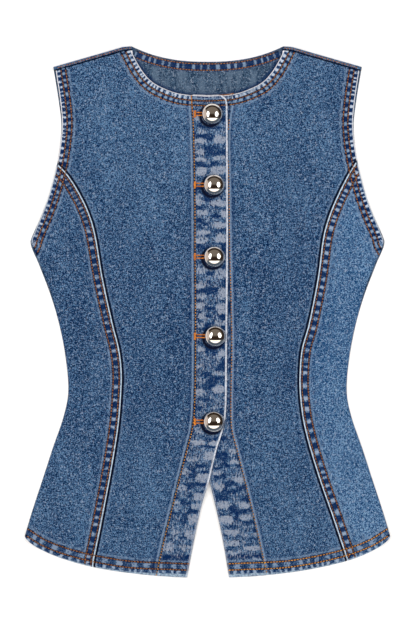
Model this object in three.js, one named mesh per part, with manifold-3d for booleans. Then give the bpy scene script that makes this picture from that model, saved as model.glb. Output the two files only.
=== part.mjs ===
// A sleeveless denim vest lying flat on its back, front up, as a maker cuts and sews it.
// Millimetres. X runs to the wearer's left, Y to the neck, Z up from the surface it lies on.
// Each piece of cloth is a closed wall over a grid of plan points. Its underside follows
// what it lies on, and its top adds the cloth, doubled where an edge or a seam is turned in.
import * as THREE from 'three';
import { mergeVertices } from 'three/addons/utils/BufferGeometryUtils.js';
import Module from 'manifold-3d';

const wasm = await Module();
wasm.setup();

// Cloth and seams
const CLOTH = 1.2;
const DOUBLE = 2.4;
const FACING_CLOTH = 1.0;
const GAP = 0.3;
const STEP = 1.5;
const HEM_BAND = 13;
const NECK_BAND = 12;
const SEAM_BAND = 10;
const FACING_WIDTH = 11.5;
const SHOULDER_ROLL = 5;
const FACING_END = 6;
const CROSS_DROP = 3;
const FACING_ROOM = 6;

// Air caught under the fronts, how far from hem and neck it reaches its full height,
// and how soon the cloth falls past an edge below it
const AIR = 2.4;
const AIR_FROM_HEM = 110;
const AIR_FROM_NECK = 80;
const HEM_FALL = 18;
const HEM_LEAD = 5;
const PLACKET_RISE = 3.0;
const PLACKET_LEAD = 4;
const PLACKET_FALL = 18;

// Outline: half width of the vest at each height, from the shoulder tip to the hem corner
const UNDERARM_Y = 76;
const SHOULDER_TIP = { x: 169.5, y: 269.3 };
const NECK_POINT = { x: 83.5, y: 292 };
const SHOULDER_BEND = { x: 93, y: 291.3 };
const OUTLINE = [
  { y: 269.3, half: 169.5 },
  { y: 229, half: 163 },
  { y: 202.5, half: 160.5 },
  { y: 167, half: 164.5 },
  { y: 132, half: 173 },
  { y: 105.5, half: 182.5 },
  { y: 88, half: 190.5 },
  { y: 76, half: 194.5 },
  { y: 53, half: 185.5 },
  { y: 17.5, half: 172 },
  { y: -17.5, half: 162 },
  { y: -53, half: 155.5 },
  { y: -88, half: 153 },
  { y: -114.5, half: 158 },
  { y: -149.5, half: 170 },
  { y: -185, half: 181.5 },
  { y: -220, half: 193 },
  { y: -247, half: 201 },
];

// How far the front's edge stays inside the back's: at the armhole top and below the underarm
const FRONT_INSET = [
  { y: 269.3, inset: 2.2 },
  { y: 229, inset: 1.6 },
  { y: 190, inset: 0.4 },
  { y: 100, inset: 0.4 },
  { y: 76, inset: 1.4 },
  { y: 30, inset: 2.0 },
  { y: -10, inset: 0.4 },
  { y: -247, inset: 0.4 },
];

// Hem: the fronts' edge is a long shallow curve, the back's an arch that rises to the middle
const HEM = { half: 201, corner: -246.5, drop: 45.5, power: 0.6 };
const BACK_HEM = { middle: -171.5, corner: -246.5 };

// Neck: front edge by distance from the middle, and the back's shallow scoop
const FRONT_NECK = [
  { x: 0, y: 236.6 },
  { x: 17, y: 237.4 },
  { x: 26, y: 238.5 },
  { x: 36.5, y: 241 },
  { x: 47, y: 245 },
  { x: 57, y: 250 },
  { x: 64.5, y: 256 },
  { x: 72.5, y: 266 },
  { x: 79.5, y: 278 },
  { x: 84.5, y: 288 },
];
const UNDER_NECK_RISE = 1.2;
const BACK_NECK = { middle: 275, power: 2.4 };

// Princess seams: the fold of the side panel over the centre one, which differ left to right
const PRINCESS = [
  { y: 168, right: 170, left: 165 },
  { y: 150, right: 152.8, left: 153.8 },
  { y: 122, right: 136, left: 140 },
  { y: 100, right: 127, left: 131.5 },
  { y: 80, right: 122, left: 126.5 },
  { y: 38, right: 115, left: 121 },
  { y: -15, right: 103.4, left: 110.5 },
  { y: -40, right: 97, left: 103.4 },
  { y: -65, right: 94, left: 101 },
  { y: -90, right: 94.6, left: 101.2 },
  { y: -125, right: 97.5, left: 106 },
  { y: -175, right: 105.5, left: 120 },
  { y: -230, right: 116, left: 139 },
  { y: -276, right: 125.5, left: 154.5 },
];

// Plackets: the seam to its centre panel and the free edge, by height
const TOP_PLACKET = [
  { y: 240, seam: -18.5, edge: 17 },
  { y: 222, seam: -17.3, edge: 22 },
  { y: 200, seam: -16, edge: 22.2 },
  { y: 123, seam: -14.5, edge: 22.5 },
  { y: 68, seam: -14.3, edge: 22.5 },
  { y: -36, seam: -13.8, edge: 21.4 },
  { y: -107, seam: -14.9, edge: 20.5 },
  { y: -129, seam: -17.5, edge: 17.1 },
  { y: -148.5, seam: -22.5, edge: 10.7 },
  { y: -186, seam: -32.2, edge: 1.6 },
  { y: -211, seam: -38.3, edge: -6.1 },
  { y: -246.5, seam: -47.3, edge: -13.8 },
  { y: -292, seam: -57.6, edge: -22.5 },
];
const UNDER_PLACKET = [
  { y: 245, seam: 28, edge: -16 },
  { y: 200, seam: 22, edge: -17 },
  { y: 150, seam: 22.5, edge: -16 },
  { y: 68, seam: 23.6, edge: -14.9 },
  { y: -30, seam: 25.9, edge: -12.6 },
  { y: -107, seam: 24.8, edge: -13.7 },
  { y: -129, seam: 25.9, edge: -12.5 },
  { y: -148.5, seam: 31, edge: -7.5 },
  { y: -186, seam: 40.5, edge: 2.1 },
  { y: -211, seam: 46.8, edge: 8.2 },
  { y: -246.5, seam: 55.2, edge: 16 },
  { y: -292, seam: 65.5, edge: 23.8 },
];

// Buttons: polished domes on a shank through a keyhole cut in the top placket
const BUTTONS = [
  { x: 5.2, y: 216.7 },
  { x: 7.2, y: 139.2 },
  { x: 7.5, y: 60.5 },
  { x: 8.5, y: -26.4 },
  { x: 6.9, y: -119.9 },
];
const BUTTON = {
  rim: 12.3, rimHeight: 1.4, chamfer: 0.5, dome: 11, domeHeight: 6.5, shank: 2.2, rings: 5, around: 20,
};
const RIM_LIFT = 0.2;
const BUTTONHOLE = { start: -12.5, width: 1.2, eye: 2.9 };

// Points on a long curve and on a short one, and the grid of each kind of piece
const LONG = 60;
const SHORT = 24;
const CENTRE_GRID = { across: 9, along: 40 };
const SIDE_GRID = { across: 7, along: 30 };
const PLACKET_GRID = { across: 5, along: 40 };

const COLOURS = { denim: 0x46607f, placket: 0x55626f, inside: 0x4e627a, metal: 0xc9c8c6 };

// Eases from 0 at low to 1 at high
function ease(low, high, value) {
  return THREE.MathUtils.smoothstep(value, low, high);
}

// One column of a table as a smooth function of another, a cubic through every row
function column(rows, key, name) {
  const sorted = [...rows].sort((a, b) => a[key] - b[key]);
  const slopes = sorted.map((row, i) => {
    const before = sorted[Math.max(i - 1, 0)];
    const after = sorted[Math.min(i + 1, sorted.length - 1)];
    return (after[name] - before[name]) / (after[key] - before[key]);
  });
  return (at) => {
    const last = sorted.length - 2;
    let i = sorted.findIndex((row) => row[key] >= at) - 1;
    if (i < 0) i = at > sorted[1][key] ? last : 0;
    const [a, b] = [sorted[i], sorted[i + 1]];
    const span = b[key] - a[key];
    const t = THREE.MathUtils.clamp((at - a[key]) / span, 0, 1);
    const bend = t * t * (3 - 2 * t);
    const start = t * (1 - t) * (1 - t) * span * slopes[i];
    const end = t * t * (t - 1) * span * slopes[i + 1];
    return a[name] + (b[name] - a[name]) * bend + start + end;
  };
}

const halfWidth = column(OUTLINE, 'y', 'half');
const frontInset = column(FRONT_INSET, 'y', 'inset');
const frontNeck = column(FRONT_NECK, 'x', 'y');
const topSeam = column(TOP_PLACKET, 'y', 'seam');
const topEdge = column(TOP_PLACKET, 'y', 'edge');
const underSeam = column(UNDER_PLACKET, 'y', 'seam');
const underEdge = column(UNDER_PLACKET, 'y', 'edge');
const frontHalf = (y) => halfWidth(y) - frontInset(y);

function hemY(x) {
  const u = Math.min(Math.abs(x) / HEM.half, 1);
  return HEM.corner - HEM.drop * (1 - u * u) ** HEM.power;
}

function backHemY(x) {
  const u = Math.min(Math.abs(x) / HEM.half, 1);
  const fall = (1 - Math.cos(Math.PI * u)) / 2;
  return THREE.MathUtils.lerp(BACK_HEM.middle, BACK_HEM.corner, fall);
}

function backNeckY(x) {
  const u = Math.min(Math.abs(x) / NECK_POINT.x, 1);
  return BACK_NECK.middle + (NECK_POINT.y - BACK_NECK.middle) * u ** BACK_NECK.power;
}

// Points along a curve, made by a function of a number that runs between two values
function along(from, to, steps, point) {
  const points = [];
  for (let i = 0; i <= steps; i += 1) {
    points.push(new THREE.Vector2(...point(THREE.MathUtils.lerp(from, to, i / steps))));
  }
  return points;
}

// A path through points that gives the place at a share of its length
function path(points) {
  const reach = [0];
  for (let i = 1; i < points.length; i += 1) {
    reach.push(reach[i - 1] + points[i].distanceTo(points[i - 1]));
  }
  const length = reach[reach.length - 1];
  const at = (share) => {
    const wanted = THREE.MathUtils.clamp(share, 0, 1) * length;
    const i = Math.min(Math.max(reach.findIndex((r) => r >= wanted), 1), points.length - 1);
    const part = (wanted - reach[i - 1]) / (reach[i] - reach[i - 1]);
    return points[i - 1].clone().lerp(points[i], part);
  };
  return { at, length, points };
}

// Shortest distance from a plan point to a path
function distance(x, y, toPath) {
  const here = new THREE.Vector2(x, y);
  let best = Infinity;
  for (let i = 1; i < toPath.points.length; i += 1) {
    const start = toPath.points[i - 1];
    const run = toPath.points[i].clone().sub(start);
    const share = here.clone().sub(start).dot(run) / run.lengthSq();
    const near = start.clone().addScaledVector(run, THREE.MathUtils.clamp(share, 0, 1));
    best = Math.min(best, near.distanceTo(here));
  }
  return best;
}

const backNeckPath = path(along(-NECK_POINT.x, NECK_POINT.x, LONG, (x) => [x, backNeckY(x)]));

// Height of the underside of the fronts: on the back, over its facing, down past its hem,
// with air under the middle of the body
function restHeight(x, y) {
  const overBack = ease(-HEM_FALL, -HEM_LEAD, y - backHemY(x));
  const toNeck = distance(x, y, backNeckPath);
  const nearNeck = 1 - ease(FACING_WIDTH + FACING_ROOM, FACING_WIDTH + 2 * FACING_ROOM, toNeck);
  const sideways = 1 - Math.min(Math.abs(x) / halfWidth(y), 1) ** 2;
  const lengthways = ease(0, AIR_FROM_HEM, y - hemY(x)) * ease(0, AIR_FROM_NECK, NECK_POINT.y - y);
  const air = AIR * sideways * lengthways;
  return (CLOTH + GAP) * overBack + (FACING_CLOTH + GAP) * nearNeck + air;
}

// The wearer's right front climbs over the under placket of the left one
function rightHeight(x, y) {
  return restHeight(x, y) + PLACKET_RISE * ease(-PLACKET_FALL, -PLACKET_LEAD, x - underEdge(y));
}

// Shares of a length at which a turned band ends at either side, with even steps between
function steps(length, first, last, count) {
  const low = first ? [0, first, first + STEP] : [0];
  const high = last ? [length - last - STEP, length - last, length] : [length];
  const inner = count - low.length - high.length + 2;
  const from = low[low.length - 1];
  const marks = [];
  for (let i = 1; i < inner; i += 1) {
    marks.push(THREE.MathUtils.lerp(from, high[0], i / inner));
  }
  return [...low, ...marks, ...high].map((mark) => mark / length);
}

// A grid of plan points between four paths: bottom and top run outward, inner and outer up.
// The bands say how wide the turned cloth is at each of the four edges.
function grid(edges, bands, size, turnedAt) {
  const { bottom, top, inner, outer } = edges;
  const rows = [];
  for (let k = 0; k <= size.along; k += 1) {
    const row = [];
    for (let j = 0; j <= size.across; j += 1) {
      const rough = j / size.across;
      const height = THREE.MathUtils.lerp(inner.length, outer.length, rough);
      const v = steps(height, bands.bottom, bands.top, size.along)[k];
      const width = inner.at(v).distanceTo(outer.at(v));
      const u = steps(width, bands.inner, bands.outer, size.across)[j];
      const corners = bottom.at(0).multiplyScalar((1 - u) * (1 - v))
        .addScaledVector(bottom.at(1), u * (1 - v))
        .addScaledVector(top.at(0), (1 - u) * v)
        .addScaledVector(top.at(1), u * v);
      const point = bottom.at(u).multiplyScalar(1 - v)
        .addScaledVector(top.at(u), v)
        .addScaledVector(inner.at(v), 1 - u)
        .addScaledVector(outer.at(v), u)
        .sub(corners);
      const sides = turnedAt(v);
      const turned = (bands.bottom > 0 && k <= 1) || (bands.top > 0 && k >= size.along - 1)
        || (sides.inner && j <= 1) || (sides.outer && j >= size.across - 1);
      row.push({ x: point.x, y: point.y, turned });
    }
    rows.push(row);
  }
  return rows;
}

// A closed wall over a grid: underside and top are functions of a grid point
function wall(rows, underside, top) {
  const across = rows[0].length;
  const positions = [];
  for (const height of [underside, top]) {
    for (const row of rows) {
      for (const point of row) positions.push(point.x, point.y, height(point));
    }
  }
  const index = [];
  const count = rows.length * across;
  const ring = [];
  for (let j = 0; j < across; j += 1) ring.push(j);
  for (let k = 1; k < rows.length; k += 1) ring.push(k * across + across - 1);
  for (let j = across - 2; j >= 0; j -= 1) ring.push((rows.length - 1) * across + j);
  for (let k = rows.length - 2; k > 0; k -= 1) ring.push(k * across);
  for (let k = 0; k < rows.length - 1; k += 1) {
    for (let j = 0; j < across - 1; j += 1) {
      const a = k * across + j;
      const [b, c, d] = [a + 1, a + across + 1, a + across];
      index.push(count + a, count + b, count + c, count + a, count + c, count + d);
      index.push(a, c, b, a, d, c);
    }
  }
  ring.forEach((a, i) => {
    const b = ring[(i + 1) % ring.length];
    index.push(a, b, count + b, a, count + b, count + a);
  });
  const geometry = new THREE.BufferGeometry();
  geometry.setAttribute('position', new THREE.Float32BufferAttribute(positions, 3));
  geometry.setIndex(index);
  return facingOut(geometry);
}

// A wall of one layer, doubled where the grid says that the edge is turned in
function cloth(rows, height) {
  const underside = (p) => height(p.x, p.y);
  return wall(rows, underside, (p) => underside(p) + (p.turned ? DOUBLE : CLOTH));
}

// Turns the faces round where a grid ran the other way about, as on the wearer's right
function facingOut(geometry) {
  const at = geometry.getAttribute('position');
  const index = geometry.getIndex();
  const corner = (i) => new THREE.Vector3().fromBufferAttribute(at, index.getX(i));
  let volume = 0;
  for (let i = 0; i < index.count; i += 3) {
    volume += corner(i).dot(corner(i + 1).cross(corner(i + 2)));
  }
  if (volume < 0) {
    for (let i = 0; i < index.count; i += 3) {
      const kept = index.getX(i + 1);
      index.setX(i + 1, index.getX(i + 2));
      index.setX(i + 2, kept);
    }
  }
  geometry.computeVertexNormals();
  return geometry;
}

// Solids for cutting and joining
function toSolid(geometry) {
  const bare = geometry.clone();
  bare.deleteAttribute('normal');
  bare.deleteAttribute('uv');
  const merged = mergeVertices(bare);
  return new wasm.Manifold(new wasm.Mesh({
    numProp: 3,
    vertProperties: merged.getAttribute('position').array,
    triVerts: new Uint32Array(merged.getIndex().array),
  }));
}

function fromSolid(solid) {
  const mesh = solid.getMesh();
  const geometry = new THREE.BufferGeometry();
  geometry.setAttribute('position', new THREE.BufferAttribute(mesh.vertProperties, 3));
  geometry.setIndex(new THREE.BufferAttribute(mesh.triVerts, 1));
  geometry.computeVertexNormals();
  return geometry;
}

const vest = new THREE.Group();

function add(name, geometry, color, roughness = 0.9, metalness = 0) {
  const material = new THREE.MeshStandardMaterial({ color, roughness, metalness });
  const mesh = new THREE.Mesh(geometry, material);
  mesh.name = name;
  vest.add(mesh);
  return mesh;
}

// Height where two edges given as functions meet, found by stepping from one to the other
function meeting(xAt, yAt, side, firstY) {
  let y = firstY;
  for (let i = 0; i < 20; i += 1) y = yAt(side * xAt(y));
  return y;
}

// The two fronts. A side of -1 is the wearer's right, and lines are distances from the middle.
const SIDES = [
  {
    name: 'right', side: -1, seam: (y) => -topSeam(y), height: rightHeight,
    ridge: column(PRINCESS, 'y', 'right'), cross: 164.5,
  },
  {
    name: 'left', side: 1, seam: underSeam, height: restHeight,
    ridge: column(PRINCESS, 'y', 'left'), cross: 167,
  },
];

// The shoulder line from neck to tip, moved down the front by a drop
function shoulderPath(side, drop) {
  const line = [NECK_POINT, SHOULDER_BEND, SHOULDER_TIP];
  const inset = frontInset(SHOULDER_TIP.y) * (drop > 0 ? 1 : 0);
  const slant = new THREE.Vector2(
    SHOULDER_TIP.x - SHOULDER_BEND.x, SHOULDER_TIP.y - SHOULDER_BEND.y,
  ).normalize();
  const down = new THREE.Vector2(slant.y, -slant.x).multiplyScalar(drop);
  const points = line.map((p) => new THREE.Vector2(p.x + down.x, p.y + down.y));
  points[2].addScaledVector(slant, -inset);
  return path(points.map((p) => p.setX(side * p.x)));
}

// Centre panel: placket seam and neck inside, princess seam and armhole outside
function centrePanel({ side, seam, ridge, cross, height, name }) {
  const inside = (y) => seam(y) + GAP / 2;
  const outside = (y) => ridge(y) - GAP / 2;
  const shoulder = shoulderPath(side, SHOULDER_ROLL + GAP);
  const [neckEnd, tip] = [shoulder.at(0), shoulder.at(1)];
  const lowIn = meeting(inside, hemY, side, HEM.corner - HEM.drop);
  const lowOut = meeting(outside, hemY, side, HEM.corner);
  const highIn = meeting(inside, frontNeck, side, frontNeck(0));
  const neck = along(inside(highIn), FRONT_NECK.at(-1).x, SHORT, (x) => [side * x, frontNeck(x)])
    .filter((p) => p.y < neckEnd.y - 1);
  const inner = path([
    ...along(lowIn, highIn, LONG, (y) => [side * inside(y), y]), ...neck.slice(1), neckEnd,
  ]);
  const outer = path([
    ...along(lowOut, cross - CROSS_DROP, LONG, (y) => [side * outside(y), y]),
    ...along(cross, tip.y, SHORT, (y) => [side * frontHalf(y), y]),
  ]);
  const bottom = path(along(inside(lowIn), outside(lowOut), SHORT, (x) => [side * x, hemY(x)]));
  const edges = { bottom, top: shoulder, inner, outer };
  const bands = { bottom: HEM_BAND, top: 0, inner: NECK_BAND, outer: NECK_BAND };
  const rows = grid(edges, bands, CENTRE_GRID, (v) => ({
    inner: inner.at(v).y > highIn, outer: outer.at(v).y > cross,
  }));
  add(`front_centre_${name}`, cloth(rows, height), COLOURS.denim);
}

// Side panel: its princess edge is turned in and lies folded at the seam
function sidePanel({ side, ridge, cross, height, name }) {
  const inside = (y) => ridge(y) + GAP / 2;
  const lowIn = meeting(inside, hemY, side, HEM.corner);
  const topIn = cross - CROSS_DROP;
  const inner = path(along(lowIn, topIn, LONG, (y) => [side * inside(y), y]));
  const outer = path(along(HEM.corner, UNDERARM_Y, LONG, (y) => [side * frontHalf(y), y]));
  const top = path([
    inner.at(1), ...along(topIn - 2, UNDERARM_Y, SHORT, (y) => [side * frontHalf(y), y]),
  ]);
  const bottom = path(along(
    Math.asin(inside(lowIn) / HEM.half), Math.asin(frontHalf(HEM.corner) / HEM.half), SHORT,
    (angle) => [side * HEM.half * Math.sin(angle), hemY(HEM.half * Math.sin(angle))],
  ));
  const edges = { bottom, top, inner, outer };
  const bands = { bottom: HEM_BAND, top: NECK_BAND, inner: SEAM_BAND, outer: 0 };
  const rows = grid(edges, bands, SIDE_GRID, () => ({ inner: true, outer: false }));
  add(`front_side_${name}`, cloth(rows, height), COLOURS.denim);
}

// Rows of a placket, doubled all over, between its seam and its free edge
function placketRows(side, seam, edge, neckRise) {
  const ends = (line) => {
    const low = meeting(line, hemY, 1, HEM.corner - HEM.drop);
    const high = meeting(line, (x) => frontNeck(Math.abs(x)) + neckRise, 1, frontNeck(0));
    return path(along(low, high, LONG, (y) => [line(y), y]));
  };
  const inner = ends((y) => seam(y) - side * GAP / 2);
  const outer = ends(edge);
  const between = (share, yAt) => path(along(0, 1, 8, (t) => {
    const x = THREE.MathUtils.lerp(inner.at(share).x, outer.at(share).x, t);
    return [x, yAt(x)];
  }));
  const bottom = between(0, hemY);
  const top = between(1, (x) => frontNeck(Math.abs(x)) + neckRise);
  const bands = { bottom: HEM_BAND, top: NECK_BAND, inner: 0, outer: 0 };
  return grid({ bottom, top, inner, outer }, bands, PLACKET_GRID, () => ({}));
}

const placketTop = (height) => (p) => height(p.x, p.y) + DOUBLE;

// A keyhole through the top placket: a slot from the seam side with a round eye at the shank
function keyhole({ x, y }) {
  const half = BUTTONHOLE.width / 2;
  const turn = Math.asin(half / BUTTONHOLE.eye);
  const outline = new THREE.Shape();
  outline.moveTo(BUTTONHOLE.start, y - half);
  outline.absarc(x, y, BUTTONHOLE.eye, Math.PI + turn, 3 * Math.PI - turn, false);
  outline.lineTo(BUTTONHOLE.start, y + half);
  const cutter = new THREE.ExtrudeGeometry(outline, {
    depth: 5 * DOUBLE, bevelEnabled: false, curveSegments: 12,
  });
  return toSolid(cutter);
}

function plackets() {
  const under = placketRows(1, underSeam, underEdge, UNDER_NECK_RISE);
  const underSide = (p) => restHeight(p.x, p.y);
  add('placket_left', wall(under, underSide, placketTop(restHeight)), COLOURS.placket);

  const over = placketRows(-1, topSeam, topEdge, 0);
  const overSide = (p) => rightHeight(p.x, p.y);
  let solid = toSolid(wall(over, overSide, placketTop(rightHeight)));
  for (const button of BUTTONS) solid = solid.subtract(keyhole(button));
  add('placket_right', fromSolid(solid), COLOURS.placket);
}

// Back: one plain panel on the surface, its shoulders folded over onto the front
function back() {
  const side = (sign) => along(UNDERARM_Y, SHOULDER_TIP.y, 16, (y) => [sign * halfWidth(y), y]);
  const flank = (sign) => along(BACK_HEM.corner, UNDERARM_Y, 16, (y) => [sign * halfWidth(y), y]);
  const hem = along(-HEM.half, HEM.half, SHORT, (x) => [x, backHemY(x)]);
  const neck = along(NECK_POINT.x, -NECK_POINT.x, SHORT, (x) => [x, backNeckY(x)]);
  const bend = new THREE.Vector2(SHOULDER_BEND.x, SHOULDER_BEND.y);
  const outline = new THREE.Shape([
    ...hem.slice(1, -1), ...flank(1).slice(0, -1), ...side(1), bend,
    ...neck, new THREE.Vector2(-bend.x, bend.y),
    ...side(-1).reverse(), ...flank(-1).reverse().slice(1),
  ]);
  const panel = new THREE.ExtrudeGeometry(outline, { depth: CLOTH, bevelEnabled: false });
  let solid = toSolid(panel);
  for (const sign of [-1, 1]) solid = solid.add(toSolid(shoulderRoll(sign)));
  add('back', fromSolid(solid), COLOURS.inside);
}

// The strip of the back that rolls over the shoulder, down to the seam
function shoulderRoll(sign) {
  const [low, high] = [shoulderPath(sign, SHOULDER_ROLL), shoulderPath(sign, 0)];
  const rows = [low, high].map((line) => along(0, 1, 10, (t) => line.at(t).toArray()));
  return wall(rows, () => CLOTH / 2, (p) => restHeight(p.x, p.y) + DOUBLE);
}

// The band sewn inside the back neck
function backNeckFacing() {
  const ends = NECK_POINT.x - FACING_END;
  const edge = along(-ends, ends, 28, (x) => [x, backNeckY(x) - GAP]);
  const lower = edge.map((point, i) => {
    const before = edge[Math.max(i - 1, 0)];
    const after = edge[Math.min(i + 1, edge.length - 1)];
    const run = after.clone().sub(before).normalize();
    return new THREE.Vector2(point.x + run.y * FACING_WIDTH, point.y - run.x * FACING_WIDTH);
  });
  const seat = CLOTH + GAP;
  add('back_neck_facing', wall([lower, edge], () => seat, () => seat + FACING_CLOTH),
    COLOURS.inside);
}

// A domed button: shank, flat rim and polished dome, turned about its own axis
function button({ x, y }, number) {
  const seat = restHeight(x, y) + DOUBLE + GAP;
  const rim = rightHeight(x, y) + DOUBLE + GAP + RIM_LIFT - seat;
  const profile = [
    new THREE.Vector2(0, 0), new THREE.Vector2(BUTTON.shank, 0),
    new THREE.Vector2(BUTTON.shank, rim), new THREE.Vector2(BUTTON.rim - BUTTON.chamfer, rim),
    new THREE.Vector2(BUTTON.rim, rim + BUTTON.rimHeight / 2),
    new THREE.Vector2(BUTTON.rim - BUTTON.chamfer, rim + BUTTON.rimHeight),
  ];
  for (let i = 0; i <= BUTTON.rings; i += 1) {
    const turn = (Math.PI / 2) * (i / BUTTON.rings);
    profile.push(new THREE.Vector2(
      i === BUTTON.rings ? 0 : BUTTON.dome * Math.cos(turn),
      rim + BUTTON.rimHeight + BUTTON.domeHeight * Math.sin(turn),
    ));
  }
  const geometry = new THREE.LatheGeometry(profile, BUTTON.around);
  geometry.rotateX(Math.PI / 2);
  const mesh = add(`button_${number}`, geometry, COLOURS.metal, 0.15, 1);
  mesh.position.set(x, y, seat);
}

SIDES.forEach(centrePanel);
SIDES.forEach(sidePanel);
plackets();
back();
backNeckFacing();
BUTTONS.forEach((place, i) => button(place, i + 1));

export default vest;
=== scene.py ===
"""A denim vest lying flat on its back: the washed cloth, its puckered seams, the sewing
and the polished buttons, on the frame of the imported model.

Plan sizes are in millimetres, as on the cutting table, and MM turns them into metres.
X runs to the wearer's left, Y to the neck and Z up from the floor.
"""
import math
from typing import NamedTuple

import bpy
import numpy as np
from mathutils import Matrix, Vector


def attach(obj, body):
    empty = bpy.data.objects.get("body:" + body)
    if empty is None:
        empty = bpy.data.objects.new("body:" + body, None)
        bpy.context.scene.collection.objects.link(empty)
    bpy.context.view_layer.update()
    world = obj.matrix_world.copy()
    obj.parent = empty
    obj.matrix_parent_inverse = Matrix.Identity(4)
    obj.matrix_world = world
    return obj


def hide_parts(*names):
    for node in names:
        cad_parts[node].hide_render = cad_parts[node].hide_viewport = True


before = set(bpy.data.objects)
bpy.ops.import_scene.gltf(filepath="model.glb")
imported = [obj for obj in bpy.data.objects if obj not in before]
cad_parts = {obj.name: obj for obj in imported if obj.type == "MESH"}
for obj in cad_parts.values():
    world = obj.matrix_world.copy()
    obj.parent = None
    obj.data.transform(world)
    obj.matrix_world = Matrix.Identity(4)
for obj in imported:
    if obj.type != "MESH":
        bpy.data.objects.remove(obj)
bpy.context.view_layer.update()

MM = 0.001
CELL = 1.45
LONG = 70
SHORT = 28
FAR = 99.0
BELOW_HEM = -300

# Cloth and seams, in millimetres
CLOTH = 1.2
DOUBLE = 2.4
FACING_CLOTH = 1.0
GAP = 0.3
THINNEST = 0.35
EDGE_ROUND = 1.0
BAND_STEP = 1.6
HEM_WIDER = 2.2
SHOULDER_ROLL = 5.0
SHOULDER_ROW = 2.6
PLACKET_ROW = {"right": 0.7, "left": -0.9}
SWELLS = [  # width, length and rise of the cloth's unevenness
    (34, 52, 0.5), (13, 17, 0.25),
]


class Band(NamedTuple):
    """A turned band with two rows of stitches, and the puckers that its sewing draws up.

    rows and width count from the edge. crest says how far in the puckers are highest and how
    wide they are, echo the same for softer ones in the cloth beyond, with their share of the
    height. pitches are those of the puckers outside the first row and inside it.
    """

    rows: tuple
    width: float
    height: float
    crest: tuple
    echo: tuple = (19, 7.0, 0.35)
    pitches: tuple = ()

    def swell(self, away):
        """How high the puckers are at a distance from the edge."""
        return self.height * (hill(away, *self.crest) + self.echo[2] * hill(away, *self.echo[:2]))


HEM = Band((6.0, 13.0), 15.2, 0.34, (9.4, 3.6), pitches=(9.0, 13.0))
ARM = Band((5.8, 10.9), 13.2, 0.26, (8.0, 3.6), pitches=(5.8, 7.6))
NECK = Band((5.9, 11.2), 13.2, 0.24, (7.4, 3.6), pitches=(4.5, 6.0))
FOLD = Band((2.9, 9.5), 11.2, 0.34, (5.7, 3.0), echo=(16, 6.0, 0.3))
FACING = Band((2.2, 9.2), 11.5, 0.3, (5.7, 3.0), pitches=(9.0, 9.0))
BANDS = {"hem": HEM, "arm": ARM, "neck": NECK, "fold": FOLD}
NECK_WORN = 0.28
ARM_SEAM = (17, 24)  # where along the armhole the side seam interrupts its puckers
FINE_FOLD_Y = 90.0
FINE_FOLD_GAIN = 1.4
FOLD_PITCHES = {"right": (5.4, 8.2), "left": (6.8, 10.5)}  # above FINE_FOLD_Y and below it

# Stitches
STITCH_PITCH = 3.25
STITCH_LENGTH = 2.55
SHORT_STITCH = 1.7
CLOSE_PITCH = 0.62
THREAD_RADIUS = 0.56
FINE_THREAD = THREAD_RADIUS * 0.94
THREAD_SIDES = 6
STITCH_SLIP = 0.12
STITCH_SWING = 0.14
STATIONS = [  # share of a stitch's length, share of its radius, rise
    (0.0, 0.55, -0.25), (0.14, 0.9, 0.0), (0.5, 1.0, 0.1), (0.86, 0.9, 0.0), (1.0, 0.55, -0.25),
]

# Air under the fronts, and how soon the cloth falls past an edge below it
AIR = 2.4
AIR_FROM_HEM = 110.0
AIR_FROM_NECK = 80.0
HEM_FALL = 18.0
HEM_LEAD = 5.0
FACING_ROOM = 6.0
PLACKET_RISE = 3.0
PLACKET_LEAD = 4.0
PLACKET_FALL = 18.0

# Outline: half width at each height, and how far the front stays inside the back
UNDERARM_Y = 76.0
HEM_TO_SIDE = 0.955  # share of its half width over which the hem is traced
SHOULDER_TIP = (169.5, 269.3)
NECK_POINT = (83.5, 292.0)
SHOULDER_BEND = (93.0, 291.3)
OUTLINE = [  # y, half
    (269.3, 169.5), (229, 163), (202.5, 160.5), (167, 164.5), (132, 173), (105.5, 182.5),
    (88, 190.5), (76, 194.5), (53, 185.5), (17.5, 172), (-17.5, 162), (-53, 155.5), (-88, 153),
    (-114.5, 158), (-149.5, 170), (-185, 181.5), (-220, 193), (-247, 201),
]
FRONT_INSET = [  # y, inset
    (269.3, 2.2), (229, 1.6), (190, 0.4), (100, 0.4), (76, 1.4), (30, 2.0), (-10, 0.4), (-247, 0.4),
]
HEM_HALF = 201.0
HEM_CORNER = -246.5
HEM_DROP = 45.5
HEM_POWER = 0.6
HEM_LOW = HEM_CORNER - HEM_DROP
BACK_HEM_MIDDLE = -171.5
FRONT_NECK = [  # x, y
    (0, 236.6), (17, 237.4), (26, 238.5), (36.5, 241), (47, 245), (57, 250), (64.5, 256),
    (72.5, 266), (79.5, 278), (84.5, 288),
]
UNDER_NECK_RISE = 1.2
BACK_NECK_MIDDLE = 275.0
BACK_NECK_POWER = 2.4
PRINCESS = [  # y, wearer's right, wearer's left
    (168, 170, 165), (150, 152.8, 153.8), (122, 136, 140), (100, 127, 131.5), (80, 122, 126.5),
    (38, 115, 121), (-15, 103.4, 110.5), (-40, 97, 103.4), (-65, 94, 101), (-90, 94.6, 101.2),
    (-125, 97.5, 106), (-175, 105.5, 120), (-230, 116, 139), (-276, 125.5, 154.5),
]
TOP_PLACKET = [  # y, seam, edge
    (240, -18.5, 14), (236.6, -18.3, 16.4), (235, -18.2, 18.7), (233.5, -18.1, 20.2),
    (231, -17.9, 21.3), (227, -17.6, 21.8), (222, -17.3, 22), (200, -16, 22.2),
    (123, -14.5, 22.5), (68, -14.3, 22.5), (-36, -13.8, 21.4), (-107, -14.9, 20.5),
    (-129, -17.5, 17.1), (-148.5, -22.5, 10.7), (-186, -32.2, 1.6), (-211, -38.3, -6.1),
    (-246.5, -47.3, -13.8), (-292, -57.6, -22.5),
]
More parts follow.
